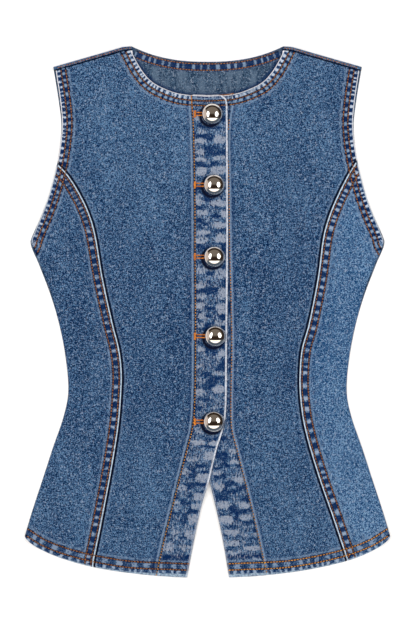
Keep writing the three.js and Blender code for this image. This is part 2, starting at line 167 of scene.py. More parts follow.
UNDER_PLACKET = [  # y, seam, edge
    (245, 28, -16), (200, 22, -17), (150, 22.5, -16), (68, 23.6, -14.9), (-30, 25.9, -12.6),
    (-107, 24.8, -13.7), (-129, 25.9, -12.5), (-148.5, 31, -7.5), (-186, 40.5, 2.1),
    (-211, 46.8, 8.2), (-246.5, 55.2, 16), (-292, 65.5, 23.8),
]
CROSSING = {"right": 164.5, "left": 167.0}
CROSS_DROP = 3.0
SPLIT_Y = -188.0
BUTTONS = [(5.2, 216.7), (7.2, 139.2), (7.5, 60.5), (8.5, -26.4), (6.9, -119.9)]
DOME_SLOPES = [  # radius, degrees
    (0, 0), (2.5, 8.5), (5, 18), (8, 34), (9.3, 40), (10.6, 44.5), (11.1, 62), (11.4, 84),
]
RIM_PROFILE = [  # radius, height over the rim's seat
    (10.8, 0.3), (11.3, 0.05), (11.6, 0.15), (11.7, 0.5), (11.6, 0.9),
]
RIM_LIFT = 0.2
DOME_SEAT = 1.3
DOME_RINGS = 34
BUTTON_SIDES = 64
SHANK_RADIUS = 2.2
SHADE_RING = (11.2, 1.7)  # radius, how soft
SHADE_SHIFT = 1.9
HOLE_START = -12.5
HOLE_HALF = 0.6
HOLE_DEPTH = 1.5

# Where the plackets' puckers stand up and are rubbed pale
CRESTS = {  # x, y, half width, half height, strength
    "right": [
        (-9, 212, 4, 2.2, 0.7), (-8, 198, 5, 3.5, 0.5), (13, 188, 6.5, 3.4, 0.9), (-8, 187, 6, 2.2, 0.9),
        (-7, 175, 4.5, 3, 0.6), (15, 169, 6.5, 2, 0.9), (-7.5, 166.5, 5.5, 2, 0.9), (12, 155, 8, 4, 0.8),
        (-7, 154, 5, 4, 0.9), (-9, 126, 4, 3, 0.5), (6, 130, 5, 2, 0.4), (13, 119, 8, 3, 0.8),
        (-8, 120, 4, 3, 0.7), (-6, 109, 6, 2.5, 0.8), (18, 107, 3.5, 3, 0.7), (14, 95, 7, 2.8, 1.0),
        (-4, 87, 7, 1.8, 0.9), (15, 80, 6, 4, 0.9), (-7, 78, 6, 3, 0.8), (-7, 45, 5, 3.5, 0.8),
        (15, 42, 7, 4.5, 0.7), (-8, 29, 5, 2.8, 0.9), (16, 21, 4.5, 5, 0.9), (-7, 18, 5, 3, 0.7),
        (16, 4, 6, 5, 0.9), (-8, 7, 5, 2.8, 0.9), (-6, -5, 4, 3, 0.6), (15, -12, 6, 3, 0.7),
        (-8, -15, 4, 2.5, 0.7), (-7, -41, 4.5, 2, 0.7), (15, -47, 5, 4, 0.7), (-8, -57, 5, 5, 0.5),
        (13, -68, 7, 3, 0.4), (-7, -75, 4, 3, 0.3), (13, -85, 6, 4, 0.9), (-9, -88, 5, 3, 0.8),
        (-9, -100, 4, 3, 0.5), (10, -104, 5, 2, 0.5), (-9, -129, 4, 2.5, 0.5), (-10, -143, 7, 2.2, 0.9),
        (8, -144, 6, 2.5, 0.9), (3, -157.5, 6.4, 3.7, 1.0), (-17, -161, 6, 2.3, 0.7),
        (-23.5, -175, 5.5, 2.8, 0.6), (-4, -181.5, 8, 4.6, 0.9), (-28, -193, 5, 2.8, 0.7),
        (-9, -202.5, 7, 3.7, 0.9), (-35, -208, 4, 2.5, 0.5), (-13, -213.5, 5, 2.8, 0.8),
        (-15.5, -227, 6, 4.6, 0.9), (-33.5, -225, 5, 2.8, 0.6), (-38, -241, 6, 3, 0.5),
        (-18.5, -244, 6, 4.6, 0.7), (-43.5, -258, 5.5, 4, 0.7), (-22.5, -260, 5, 3, 0.7),
    ],
    "left": [
        (28, -152.5, 4.6, 2.3, 0.7), (30, -165, 4.6, 2.3, 0.8), (10, -176, 5, 2.8, 0.6),
        (35, -183.5, 7, 2.8, 0.8), (12.5, -191.5, 5.5, 3.7, 0.9), (17.5, -211.5, 6.4, 3.7, 0.9),
        (41, -211.5, 6.4, 2.8, 0.8), (21, -228, 7, 3.7, 0.9), (42, -225, 7.5, 2.8, 0.8),
        (26.5, -242, 7.5, 2.8, 0.7), (47, -245, 8, 2.5, 0.6), (27, -254, 7.5, 2.8, 0.8),
        (49, -259.5, 8.5, 2.2, 0.9), (29, -264, 7, 2, 0.6),
    ],
}

# The photograph: 1.1 mm to a pixel, its middle half a millimetre right of the vest's
PHOTO_HIGH = 624 * 1.1 * MM
PHOTO_MIDDLE = (0.55 * MM, 0.0)
LENS = 85
SENSOR = 36
WORLD_LIGHT = 1.0
FLOOR_REACH = 6.0
LIGHTS = [  # name, place and size in metres, power, whether the buttons mirror it
    ("box_left", (-0.86, 0.16, 1.22), (1.25, 0.62), 6.4, True),
    ("box_top", (0, 0.1, 1.6), (1.6, 1.6), 15.0, False),
    ("box_right", (0.92, 0.16, 1.20), (1.10, 0.85), 7.04, True),
]


def ease(low, high, value):
    """0 at low to 1 at high, smoothly."""
    t = np.clip((np.asarray(value, float) - low) / (high - low), 0, 1)
    return t * t * (3 - 2 * t)


def column(rows, key, name):
    """One column of a table as a smooth function of another: the cubic of the solids."""
    rows = sorted(rows, key=lambda row: row[key])
    keys = np.array([row[key] for row in rows], float)
    values = np.array([row[name] for row in rows], float)
    before = np.maximum(np.arange(len(rows)) - 1, 0)
    after = np.minimum(np.arange(len(rows)) + 1, len(rows) - 1)
    slopes = (values[after] - values[before]) / (keys[after] - keys[before])

    def at(where):
        where = np.asarray(where, float)
        i = np.clip(np.searchsorted(keys, where) - 1, 0, len(keys) - 2)
        span = keys[i + 1] - keys[i]
        t = np.clip((where - keys[i]) / span, 0, 1)
        start = t * (1 - t) ** 2 * span * slopes[i]
        end = t * t * (t - 1) * span * slopes[i + 1]
        return values[i] + (values[i + 1] - values[i]) * t * t * (3 - 2 * t) + start + end

    return at


def hill(value, middle, spread):
    """1 at a value, falling softly to either side."""
    return np.exp(-((value - middle) / spread) ** 2)


half_width = column(OUTLINE, 0, 1)
front_inset = column(FRONT_INSET, 0, 1)
neck_curve = column(FRONT_NECK, 0, 1)
ridge_of = {"right": column(PRINCESS, 0, 1), "left": column(PRINCESS, 0, 2)}
top_seam = column(TOP_PLACKET, 0, 1)
top_edge = column(TOP_PLACKET, 0, 2)
under_seam = column(UNDER_PLACKET, 0, 1)
under_edge = column(UNDER_PLACKET, 0, 2)


def front_half(y):
    """Half the width of the fronts."""
    return half_width(y) - front_inset(y)


def neck_y(x):
    """The fronts' neckline."""
    return neck_curve(np.abs(x))


def hem_y(x):
    """The fronts' hem, without its split."""
    u = np.minimum(np.abs(x) / HEM_HALF, 1)
    return HEM_CORNER - HEM_DROP * (1 - u * u) ** HEM_POWER


def back_hem_y(x):
    """The back's hem, which arches up in the middle."""
    u = np.minimum(np.abs(x) / HEM_HALF, 1)
    return BACK_HEM_MIDDLE + (HEM_CORNER - BACK_HEM_MIDDLE) * (1 - np.cos(np.pi * u)) / 2


def back_neck_y(x):
    """The back's neckline."""
    u = np.minimum(np.abs(x) / NECK_POINT[0], 1)
    return BACK_NECK_MIDDLE + (NECK_POINT[1] - BACK_NECK_MIDDLE) * u ** BACK_NECK_POWER


def back_neck(half, drop=0.0):
    """The back's neckline as a line, over a half width and lowered."""
    return Line(drawn(-half, half, LONG, lambda x: (x, back_neck_y(x) - drop)))


class Line:
    """A plan line through points, measured along its length."""

    def __init__(self, points):
        self.points = np.asarray(points, float)
        pace = np.linalg.norm(np.diff(self.points, axis=0), axis=1)
        self.reach = np.concatenate([[0], np.cumsum(pace)])
        self.length = self.reach[-1]

    def at(self, reach):
        return np.stack([np.interp(reach, self.reach, self.points[:, i]) for i in (0, 1)], -1)

    def share(self, t):
        return self.at(np.asarray(t) * self.length)

    def along(self, reach):
        """Unit direction of travel."""
        run = self.at(reach + 0.5) - self.at(reach - 0.5)
        return run / np.linalg.norm(run, axis=-1, keepdims=True)

    def beside(self, distance, toward=1, wider=None):
        """The line moved sideways, to its left where toward is 1, and wider by a function of x."""
        reach = np.linspace(0, self.length, max(int(self.length / 3), 4))
        run = self.along(np.clip(reach, 0.5, self.length - 0.5))
        normal = np.stack([-run[:, 1], run[:, 0]], -1)
        points = self.at(reach)
        away = np.full(len(points), float(distance)) + (wider(points[:, 0]) if wider else 0)
        return Line(points + toward * away[:, None] * normal)

    def near(self, x, y):
        """Distance of each place from the line, and how far along it the nearest point is."""
        best = np.full(np.shape(x), 1e9)
        reach = np.zeros(np.shape(x))
        for i in range(len(self.points) - 1):
            (ax, ay), (bx, by) = self.points[i], self.points[i + 1]
            length = max(self.reach[i + 1] - self.reach[i], 1e-9)
            ux, uy = (bx - ax) / length, (by - ay) / length
            t = np.clip((x - ax) * ux + (y - ay) * uy, 0, length)
            away = np.hypot(x - ax - t * ux, y - ay - t * uy)
            closer = away < best
            best = np.where(closer, away, best)
            reach = np.where(closer, self.reach[i] + t, reach)
        return best, reach


def drawn(start, stop, count, point):
    """Points of a line made by a function of a number that runs between two values."""
    return [point(t) for t in np.linspace(start, stop, count + 1)]


back_neck_line = back_neck(NECK_POINT[0])


def rest_height(x, y):
    """Underside of the fronts: on the back and its facing, down past its hem, on some air."""
    over_back = ease(-HEM_FALL, -HEM_LEAD, y - back_hem_y(x))
    to_neck = back_neck_line.near(x, y)[0]
    near_neck = 1 - ease(FACING.width + FACING_ROOM, FACING.width + 2 * FACING_ROOM, to_neck)
    sideways = 1 - np.minimum(np.abs(x) / half_width(y), 1) ** 2
    lengthways = ease(0, AIR_FROM_HEM, y - hem_y(x)) * ease(0, AIR_FROM_NECK, NECK_POINT[1] - y)
    air = AIR * sideways * lengthways
    return (CLOTH + GAP) * over_back + (FACING_CLOTH + GAP) * near_neck + air


def right_height(x, y):
    """The wearer's right front climbs over the under placket of the left one."""
    return rest_height(x, y) + PLACKET_RISE * ease(-PLACKET_FALL, -PLACKET_LEAD, x - under_edge(y))


def hem_wider(x):
    """The hem is turned up further near the front edges."""
    return HEM_WIDER * (1 - ease(35, 95, np.abs(x)))


def meeting(x_at, y_at, first_y):
    """Height where two edges given as functions meet."""
    y = first_y
    for _ in range(20):
        y = float(y_at(x_at(y)))
    return y


# Random forms that are the same each run


def value_noise(x, y, width, height, seed):
    """Smooth random patches from 0 to 1, of about that width and height."""
    size = 256
    table = np.random.default_rng(seed).random((size, size))
    u = np.asarray(x) / width + 100
    v = np.asarray(y) / height + 100
    i, j = np.floor(u).astype(int), np.floor(v).astype(int)
    fu, fv = u - i, v - j
    fu, fv = fu * fu * (3 - 2 * fu), fv * fv * (3 - 2 * fv)

    def corner(a, b):
        return table[(i + a) % size, (j + b) % size]

    low = corner(0, 0) * (1 - fu) + corner(1, 0) * fu
    high = corner(0, 1) * (1 - fu) + corner(1, 1) * fu
    return low * (1 - fv) + high * fv


def puckers(reach, pitch, seed):
    """Irregular waves along a seam: -1 in a hollow and 1 on a crest."""
    dice = np.random.default_rng(seed)
    count = 220
    crests = np.cumsum(dice.uniform(0.55, 1.45, count) * pitch)
    strength = dice.uniform(0.35, 1.0, count)
    turn = np.interp(reach + 3 * pitch, crests, np.arange(count))
    return np.cos(2 * np.pi * turn) * np.interp(turn, np.arange(count), strength)


class Front:
    """One front of the vest: its lines, and the form of its three pieces of cloth."""

    def __init__(self, name, side):
        top = side < 0
        self.name = name
        self.side = side
        self.ridge = ridge_of[name]
        self.cross = CROSSING[name]
        self.height = right_height if top else rest_height
        self.seam_x = top_seam if top else under_seam
        self.free_x = top_edge if top else under_edge
        self.neck_rise = 0 if top else UNDER_NECK_RISE
        self.seed = 10 if top else 40
        self.low_seam = meeting(self.seam_x, hem_y, HEM_LOW)
        self.low_ridge = meeting(self.ridge, hem_y, HEM_CORNER)
        self.high_seam = meeting(self.seam_x, neck_y, FRONT_NECK[0][1])
        hem = drawn(0, math.asin(HEM_TO_SIDE), LONG, lambda a: self.hem_at(HEM_HALF * math.sin(a)))
        straight_on = np.add(hem[-1], 12 * np.subtract(hem[-1], hem[-3]))
        underarm = (side * (front_half(UNDERARM_Y) + 10), UNDERARM_Y - 17.4)
        neck_start = 26 if top else 18
        self.lines = {
            "hem": Line(hem + [straight_on]),
            "arm": Line([underarm] + drawn(UNDERARM_Y, self.cross, SHORT, self.edge_at)
                        + drawn(self.cross + 2, 270, SHORT, self.edge_at)),
            "neck": Line(drawn(-neck_start, FRONT_NECK[-1][0], LONG, self.neck_at)
                         + [(side * 86.5, 292)]),
            "fold": Line(drawn(BELOW_HEM, self.cross - CROSS_DROP, LONG, self.ridge_at)
                         + [self.edge_at(self.cross)]),
            "seam": Line(drawn(BELOW_HEM, 262, LONG, self.seam_at)),
            "free": Line(drawn(BELOW_HEM, 220, LONG, self.free_at)
                         + drawn(222, 250, SHORT, self.free_at)),
        }

    def edge_at(self, y):
        """A point of the vest's outer edge."""
        return self.side * front_half(y), y

    def hem_at(self, out):
        """A point of the hem, at a distance from the middle."""
        return self.side * out, hem_y(out)

    def neck_at(self, out):
        """A point of the neckline, at a distance from the middle."""
        return self.side * out, neck_y(out)

    def ridge_at(self, y, out=0.0):
        """A point of the princess seam, or a little outward of it."""
        return self.side * (self.ridge(y) + out), y

    def seam_at(self, y, out=0.0):
        """A point of the placket's seam, or a little outward of it."""
        return self.seam_x(y) + self.side * out, y

    def free_at(self, y):
        """A point of the placket's free edge."""
        return self.free_x(y), y

    def placket_neck(self, x):
        """The upper end of the placket."""
        return neck_y(x) + self.neck_rise

    def wave(self, key, away, reach, y):
        """Puckers along a band: -1 in a hollow and 1 on a crest."""
        seed = self.seed + list(BANDS).index(key)
        fine, coarse = FOLD_PITCHES[self.name] if key == "fold" else BANDS[key].pitches
        fine_waves = puckers(reach, fine, seed + 100)
        coarse_waves = puckers(reach, coarse, seed)
        if key == "fold":
            return np.where(y > FINE_FOLD_Y, fine_waves * FINE_FOLD_GAIN, coarse_waves)
        wave = np.where(away < BANDS[key].rows[0], fine_waves, coarse_waves)
        if key == "arm":
            wave = np.where((reach > ARM_SEAM[0]) & (reach < ARM_SEAM[1]), 0.3, wave)
        return wave

    def rubbed(self, x, y):
        """How worn a placket is: 1 on a crest of its puckers, 0 in a hollow."""
        crest = np.zeros(np.shape(x))
        for at_x, at_y, wide, high, strength in CRESTS[self.name]:
            away = (np.abs(x - at_x) / wide) ** 3 + np.abs((y - at_y) / high) ** 2.5
            crest = np.maximum(crest, strength * (1 - ease(0.4, 2.4, away)))
        hollow = ease(0.45, 0.85, value_noise(x, y, 9, 4.2, self.seed + 12)) * (1 - crest)
        return np.clip(0.5 + 0.5 * crest - 0.5 * hollow, 0, 1)

    def lift(self, cloth, x, y, away, waves, rub):
        """How far the puckers and the cloth's own unevenness raise its top."""
        lift = np.zeros(np.shape(x))
        for key, band in BANDS.items():
            if cloth == "side" or key != "fold":
                lift = lift + waves[key] * band.swell(away[key])
        if cloth == "centre":
            lift = lift + 0.16 * waves["fold"] * hill(away["fold"], 0, 7.0)
            lift = lift - 0.5 * (1 - ease(0, 2.6, away["fold"])) - 0.2 * (1 - ease(0, 1.8, away["seam"]))
        if cloth == "placket":
            return lift + 0.6 * (rub - 0.5)
        for k, (wide, long, rise) in enumerate(SWELLS):
            lift = lift + rise * (value_noise(x, y, wide, long, self.seed + 6 + k) - 0.5)
        return lift

    def form(self, cloth, x, y):
        """Underside and top of a piece of cloth at each place, with the masks of its finish."""
        near = {key: line.near(x, y) for key, line in self.lines.items()}
        away = {key: pair[0] for key, pair in near.items()}
        edges = [away["hem"], away["arm"], away["neck"]]
        away["hem"] = away["hem"] - hem_wider(x)
        waves = {key: self.wave(key, away[key], near[key][1], y) for key in BANDS}
        inside = {key: 1 - ease(band.width, band.width + BAND_STEP, away[key])
                  for key, band in BANDS.items()}
        if cloth == "placket":
            edges += [away["free"]]
            thick = DOUBLE + 0.5 * np.maximum(inside["hem"], inside["neck"])
        else:
            doubled = [inside[key] for key in BANDS if cloth == "side" or key != "fold"]
            thick = CLOTH + (DOUBLE - CLOTH) * np.maximum.reduce(doubled)
        if cloth == "side":
            edges += [away["fold"], np.abs(front_half(y) - np.abs(x)) * 0.93]
        rub = self.rubbed(x, y)
        lift = self.lift(cloth, x, y, away, waves, rub)
        past = np.clip(EDGE_ROUND - np.minimum.reduce(edges), 0, EDGE_ROUND)
        round_off = EDGE_ROUND - np.sqrt(np.maximum(EDGE_ROUND ** 2 - past ** 2, 0))
        under = self.height(x, y)
        top = under + np.maximum(thick + lift - round_off, THINNEST)
        neck, arm = away["neck"], away["arm"]
        rim_wave = np.where(neck < arm, waves["neck"] + NECK_WORN, waves["arm"])
        masks = {
            "near": (away["hem"], np.minimum(neck, arm), away["fold"]),
            "wave": (waves["hem"], rim_wave, waves["fold"]),
            "trim": (away["seam"], away["free"], rub),
        }
        return under, top, masks

    def top(self, x, y):
        """Height of the cloth that shows, whichever piece it is."""
        out = self.side * x
        is_side = out > self.ridge(y)
        is_placket = out < self.side * self.seam_x(y)
        which = np.where(is_side, "side", np.where(is_placket, "placket", "centre"))
        height = np.zeros(np.shape(x))
        for cloth in ("centre", "side", "placket"):
            chosen = which == cloth
            if chosen.any():
                height[chosen] = self.form(cloth, x[chosen], y[chosen])[1]
        return height


RIGHT = Front("right", -1)
LEFT = Front("left", 1)


# Grids between four lines


def marks(lengths, close, count):
    """Places across each length, close to both ends as given and even between, as shares of it."""
    close = np.asarray(close, float)
    last = len(close) - 1
    k = np.arange(count + 1)[:, None]
    even = (k - last) / (count - 2 * last)
    middle = close[-1] + (lengths - 2 * close[-1]) * even
    low = np.where(k <= last, close[np.minimum(k, last)], middle)
    high = lengths - close[np.minimum(count - k, last)]
    return np.where(k >= count - last, high, low) / lengths


def mix(a, b, share):
    """Points between two sets of points."""
    return a * (1 - share)[..., None] + b * share[..., None]


def coons(bottom, top, inner, outer, across, along):
    """A grid of plan points between four lines, close together at its edges."""
    close = (0, 0.3, 0.7, 1.3, 2.2)
    rough = np.linspace(0, 1, across + 1)
    v = marks(inner.length + (outer.length - inner.length) * rough, close, along)
    width = np.linalg.norm(inner.share(v) - outer.share(v), axis=-1)
    u = np.stack([marks(width[:, j], close, across)[j] for j in range(across + 1)], 1)
    low_end = mix(bottom.share(0.0), bottom.share(1.0), u)
    high_end = mix(top.share(0.0), top.share(1.0), u)
    across_lines = mix(bottom.share(u), top.share(u), v)
    along_lines = mix(inner.share(v), outer.share(v), u)
    return across_lines + along_lines - mix(low_end, high_end, v)


def strip(line_in, line_out, across, along):
    """A grid between two lines that run the same way."""
    v = np.linspace(0, 1, along + 1)
    near, far = line_in.share(v), line_out.share(v)
    u = marks(np.linalg.norm(near - far, axis=1), (0, 0.3, 0.8), across).T
    return mix(near[:, None], far[:, None], u)


def shell(name, node, plan, form, material, other_material=None):
    """A closed shell over a grid of plan points, in place of a solid.

    form is its underside, its top and its masks. Its rim and underside take the other material.
    """
    under, top, masks = form
    rows, across = plan.shape[:2]
    count = rows * across
    flat = plan.reshape(-1, 2)
    low = np.column_stack([flat, np.ravel(under)])
    high = np.column_stack([flat, np.ravel(top)])
    index = np.arange(count).reshape(rows, across)
    a, b = index[:-1, :-1].ravel(), index[:-1, 1:].ravel()
    c, d = index[1:, 1:].ravel(), index[1:, :-1].ravel()
    ring = np.concatenate([index[0, :-1], index[:-1, -1], index[-1, :0:-1], index[:0:-1, 0]])
    after = np.roll(ring, -1)
    faces = np.concatenate([
        np.column_stack([a, b, c, d]) + count,
        np.column_stack([a, d, c, b]),
        np.column_stack([ring, after, after + count, ring + count]),
    ])
    (x0, y0), (x1, y1), (x2, y2) = plan[0, 0], plan[0, -1], plan[-1, 0]
    if (x1 - x0) * (y2 - y0) - (y1 - y0) * (x2 - x0) < 0:
        faces = faces[:, ::-1]
    both = {key: np.tile(np.column_stack([np.ravel(m) for m in mask]), (2, 1))
            for key, mask in masks.items()}
    made = piece(name, np.concatenate([low, high]), faces, material, both)
    if other_material:
        made.data.materials.append(other_material)
        other = (np.arange(len(faces)) >= len(a)).astype(np.int32)
        made.data.polygons.foreach_set("material_index", other)
    return stand_for(made, node)


def piece(name, points, faces, material, masks=None):
    """A smooth mesh that rides with the vest, with its masks as attributes."""
    mesh = bpy.data.meshes.new(name)
    mesh.from_pydata((points * MM).tolist(), [], [list(map(int, face)) for face in faces])
    for key, values in (masks or {}).items():
        layer = mesh.attributes.new(key, "FLOAT_VECTOR", "POINT")
        layer.data.foreach_set("vector", np.ascontiguousarray(values, np.float32).ravel())
    mesh.polygons.foreach_set("use_smooth", np.full(len(mesh.polygons), True))
    mesh.materials.append(material)
    mesh.update()
    made = bpy.data.objects.new(name, mesh)
    bpy.context.scene.collection.objects.link(made)
    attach(made, "root")
    return made


def stand_for(made, node):
    """Puts a piece in place of a solid."""
    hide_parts(node)
    return made


# Materials


class Wire:
    """A socket of a shader, with arithmetic."""

    def __init__(self, tree, socket):
        self.tree = tree
        self.socket = socket

    def math(self, operation, *others, clamp=False):
        """The result of a math node on this value and others."""
        node = self.tree.nodes.new("ShaderNodeMath")
        node.operation = operation
        node.use_clamp = clamp
        for i, value in enumerate((self, *others)):
            if isinstance(value, Wire):
                self.tree.links.new(value.socket, node.inputs[i])
            else:
                node.inputs[i].default_value = value
        return Wire(self.tree, node.outputs[0])

    def __add__(self, other):
        return self.math("ADD", other)

    def __sub__(self, other):
        return self.math("SUBTRACT", other)

    def __mul__(self, other):
        return self.math("MULTIPLY", other)

    def ease(self, low, high):
        """0 at low to 1 at high, smoothly."""
        node = self.tree.nodes.new("ShaderNodeMapRange")
        node.interpolation_type = "SMOOTHSTEP"
        flip = high < low
        node.inputs["From Min"].default_value = high if flip else low
        node.inputs["From Max"].default_value = low if flip else high
        node.inputs["To Min"].default_value = 1 if flip else 0
        node.inputs["To Max"].default_value = 0 if flip else 1
        self.tree.links.new(self.socket, node.inputs["Value"])
        return Wire(self.tree, node.outputs["Result"])

    def peak(self, middle, width):
        """1 at a value, falling to 0 a width away on either side."""
        return (self - middle).math("ABSOLUTE").ease(width, 0)

    def larger(self, other):
        """The larger of two values."""
        return self.math("MAXIMUM", other)

    def clamped(self):
        """Held between 0 and 1."""
        return self.math("ADD", 0.0, clamp=True)

    def blend(self, low, high):
        """A colour between two, each a colour or a wire to one."""
        node = self.tree.nodes.new("ShaderNodeMix")
        node.data_type = "RGBA"
        self.tree.links.new(self.clamped().socket, node.inputs[0])
        for i, value in ((6, low), (7, high)):
            if isinstance(value, Wire):
                self.tree.links.new(value.socket, node.inputs[i])
            else:
                node.inputs[i].default_value = (*value, 1)
        return Wire(self.tree, node.outputs[2])


class Finish:
    """A material under construction."""

    def __init__(self, name):
        self.material = bpy.data.materials.new(name)
        self.material.use_nodes = True
        self.tree = self.material.node_tree
        self.shader = self.tree.nodes["Principled BSDF"]

    def node(self, kind):
        """A new node of a kind."""
        return self.tree.nodes.new(kind)

    def attribute(self, name):
        """The three masks that an attribute carries."""
        node = self.node("ShaderNodeAttribute")
        node.attribute_name = name
        split = self.node("ShaderNodeSeparateXYZ")
        self.tree.links.new(node.outputs["Vector"], split.inputs[0])
        return [Wire(self.tree, split.outputs[i]) for i in range(3)]

    def place(self, scale=(1, 1, 1), turn=0.0):
        """The place on the vest in millimetres, stretched and turned."""
        coordinates = self.node("ShaderNodeTexCoord")
        mapping = self.node("ShaderNodeMapping")
        mapping.vector_type = "POINT"
        mapping.inputs["Scale"].default_value = [1 / MM * s for s in scale]
        mapping.inputs["Rotation"].default_value[2] = turn
        self.tree.links.new(coordinates.outputs["Object"], mapping.inputs["Vector"])
        return mapping.outputs["Vector"]

    def upward(self):
        """How far up the vest from its middle, in millimetres."""
        split = self.node("ShaderNodeSeparateXYZ")
        self.tree.links.new(self.place(), split.inputs[0])
        return Wire(self.tree, split.outputs[1])

    def noise(self, place, size, detail=2.0, rough=0.55, bend=0.0):
        """Random cloud with forms of a size in millimetres, about 0.5 on average."""
        node = self.node("ShaderNodeTexNoise")
        node.inputs["Scale"].default_value = 1 / size
        node.inputs["Detail"].default_value = detail
        node.inputs["Roughness"].default_value = rough
        node.inputs["Distortion"].default_value = bend
        self.tree.links.new(place, node.inputs["Vector"])
        return Wire(self.tree, node.outputs[0])

    def speckle(self, size, detail=2.0, rough=0.55, bend=0.0, stretch=(1, 1, 1)):
        """Random cloud about 0, its forms drawn out where a share is less than 1."""
        return self.noise(self.place(stretch), size, detail, rough, bend) - 0.5

    def waves(self, place, size, bend=0.0):
        """Even ribs with a spacing in millimetres, along X of the place."""
        node = self.node("ShaderNodeTexWave")
        node.inputs["Scale"].default_value = math.pi / 10 / size
        node.inputs["Distortion"].default_value = bend
        node.inputs["Detail"].default_value = 1.0
        node.inputs["Detail Scale"].default_value = 1.6
        self.tree.links.new(place, node.inputs["Vector"])
        return Wire(self.tree, node.outputs["Fac"])

    def wear(self, colour, rough, relief=None, depth=0.3, shine=None):
        """Sets the colour, roughness, relief of a depth in millimetres, and shine."""
        if isinstance(colour, Wire):
            self.tree.links.new(colour.socket, self.shader.inputs["Base Color"])
        else:
            self.shader.inputs["Base Color"].default_value = (*colour, 1)
        if isinstance(rough, Wire):
            self.tree.links.new(rough.socket, self.shader.inputs["Roughness"])
        else:
            self.shader.inputs["Roughness"].default_value = rough
        if shine is not None:
            self.shader.inputs["Specular IOR Level"].default_value = shine
        if relief is not None:
            bump = self.node("ShaderNodeBump")
            bump.inputs["Distance"].default_value = depth * MM
            self.tree.links.new(relief.socket, bump.inputs["Height"])
            self.tree.links.new(bump.outputs["Normal"], self.shader.inputs["Normal"])
        return self.material


def srgb(red, green, blue):
    """A colour given as it looks, 0 to 255, as the shader wants it."""
    share = [value / 255 for value in (red, green, blue)]
    return tuple(c / 12.92 if c <= 0.04045 else ((c + 0.055) / 1.055) ** 2.4 for c in share)


INK = srgb(4, 11, 34)
INDIGO = srgb(4, 36, 80)
DEEP = srgb(1, 28, 66)
MID = srgb(27, 68, 110)
HALO = srgb(112, 134, 162)
PALE = srgb(90, 125, 161)
LILAC = srgb(146, 155, 172)
FROST = srgb(168, 190, 210)
WORN = srgb(232, 232, 238)
UPRIGHT = (1.0, 0.4, 1.0)
LEVEL = (0.4, 1.0, 1.0)
JITTER = 2.6
GROOVE = 1.7
MATTE = 0.9
RELIEF = 0.35
SHINE = 0.12


def weave(finish, deep=DEEP, middle=MID, pale=PALE):
    """The cloth's own mottle, flecks and twill: (colour, relief)."""
    blotch = finish.speckle(1.7, 1.0, 0.6, 0.5)
    grain = finish.speckle(0.9, 0.0, 0.5, 1.0)
    slub = finish.speckle(1.5, 1.0, stretch=UPRIGHT)
    weft = finish.speckle(1.5, 1.0, stretch=LEVEL)
    cloud = finish.speckle(26.0, 1.0, stretch=UPRIGHT)
    twill = finish.waves(finish.place(turn=math.radians(60)), 0.85, 1.2)
    waist = finish.upward().peak(-25.0, 240.0)
    share = blotch * 1.8 + grain * 5.8 + slub * 1.6 + weft * 1.6 + cloud * 0.8 + twill * 0.12
    share = share - waist * 0.30 + 0.51
    colour = share.ease(0.0, 0.5).blend(deep, middle)
    colour = share.ease(0.5, 1.05).blend(colour, pale)
    flecks = (slub.larger(weft) + grain * 0.5).ease(0.15, 0.27)
    colour = (flecks * 0.7).blend(colour, LILAC)
    relief = blotch * 0.5 + grain * 0.4 + twill * 0.3
    return colour, relief


class Denim(Finish):
    """Twill whose seams are worn mark by mark. Distances are in millimetres from an edge."""

    def __init__(self, name, tones=(DEEP, MID, PALE)):
        super().__init__(name)
        self.hem, self.rim, self.fold = self.attribute("near")
        self.hem_wave, self.rim_wave, self.fold_wave = self.attribute("wave")
        self.seam, self.free, self.rub = self.attribute("trim")
        self.colour, self.relief = weave(self, *tones)
        self.jitter = self.speckle(JITTER, rough=0.6)
        self.ragged = self.speckle(1.6, 1.0)
        self.dark = self.halo = self.groove = self.ragged * 0
        self.tints = []

    def squares(self, band, away, wave, shake, depth, tint, outer_tint):
        """A turned band: pale on the crests of its puckers and indigo in the hollows."""
        away = away + self.ragged * 0.7
        wave = wave + self.jitter * shake
        square = away.ease(band.width, band.width - 1.2) * away.ease(0.9, 1.6)
        outside = away.ease(band.rows[0] + 0.3, band.rows[0] - 0.3)
        self.tints.append((square * wave.ease(0.1, 0.6) * 0.9, outside.blend(tint, outer_tint)))
        hollow = square * wave.ease(0.12, -0.32) * depth
        beyond = away.peak(band.width + 4.2, 3.0) * wave.ease(0.2, -0.7) * 0.5
        rows = (away.peak(band.rows[0], GROOVE) + away.peak(band.rows[1], GROOVE)) * 1.4
        self.dark = self.dark.larger(hollow + beyond)
        self.halo = self.halo.larger(away.peak(band.width + 0.8, 1.7) * (self.jitter * 3.5 + 0.5))
        self.groove = self.groove.larger(rows)

    def hem_and_rim(self, rim_wave):
        """The squares of the hem, and of the neck or armhole."""
        self.squares(HEM, self.hem, self.hem_wave, 2.6, 0.6, srgb(126, 144, 170), srgb(148, 166, 190))
        self.squares(ARM, self.rim, rim_wave, 1.5, 1.0, srgb(126, 150, 178), srgb(186, 198, 216))

    def lay(self, share, tint):
        """Covers a share of the colour so far with a tint."""
        self.colour = share.blend(self.colour, tint)

    def lay_marks(self):
        """Covers the cloth with the marks gathered so far, and frosts the hem's edge."""
        self.lay(self.halo, HALO)
        self.lay(self.dark, INDIGO)
        for share, tint in self.tints:
            self.lay(share, tint)
        self.lay(self.groove, INK)
        self.lay(self.hem.ease(2.2, 0.6) * (self.jitter * 2.5 + 0.6), FROST)

    def finished(self, rim_tint):
        """The material, with the edge of the neck and armhole worn to a tint."""
        self.lay(self.rim.ease(1.25, 0.75) * (self.ragged + 0.85), rim_tint)
        return self.wear(self.colour, MATTE, self.relief - self.dark.clamped() * 0.6, RELIEF, SHINE)


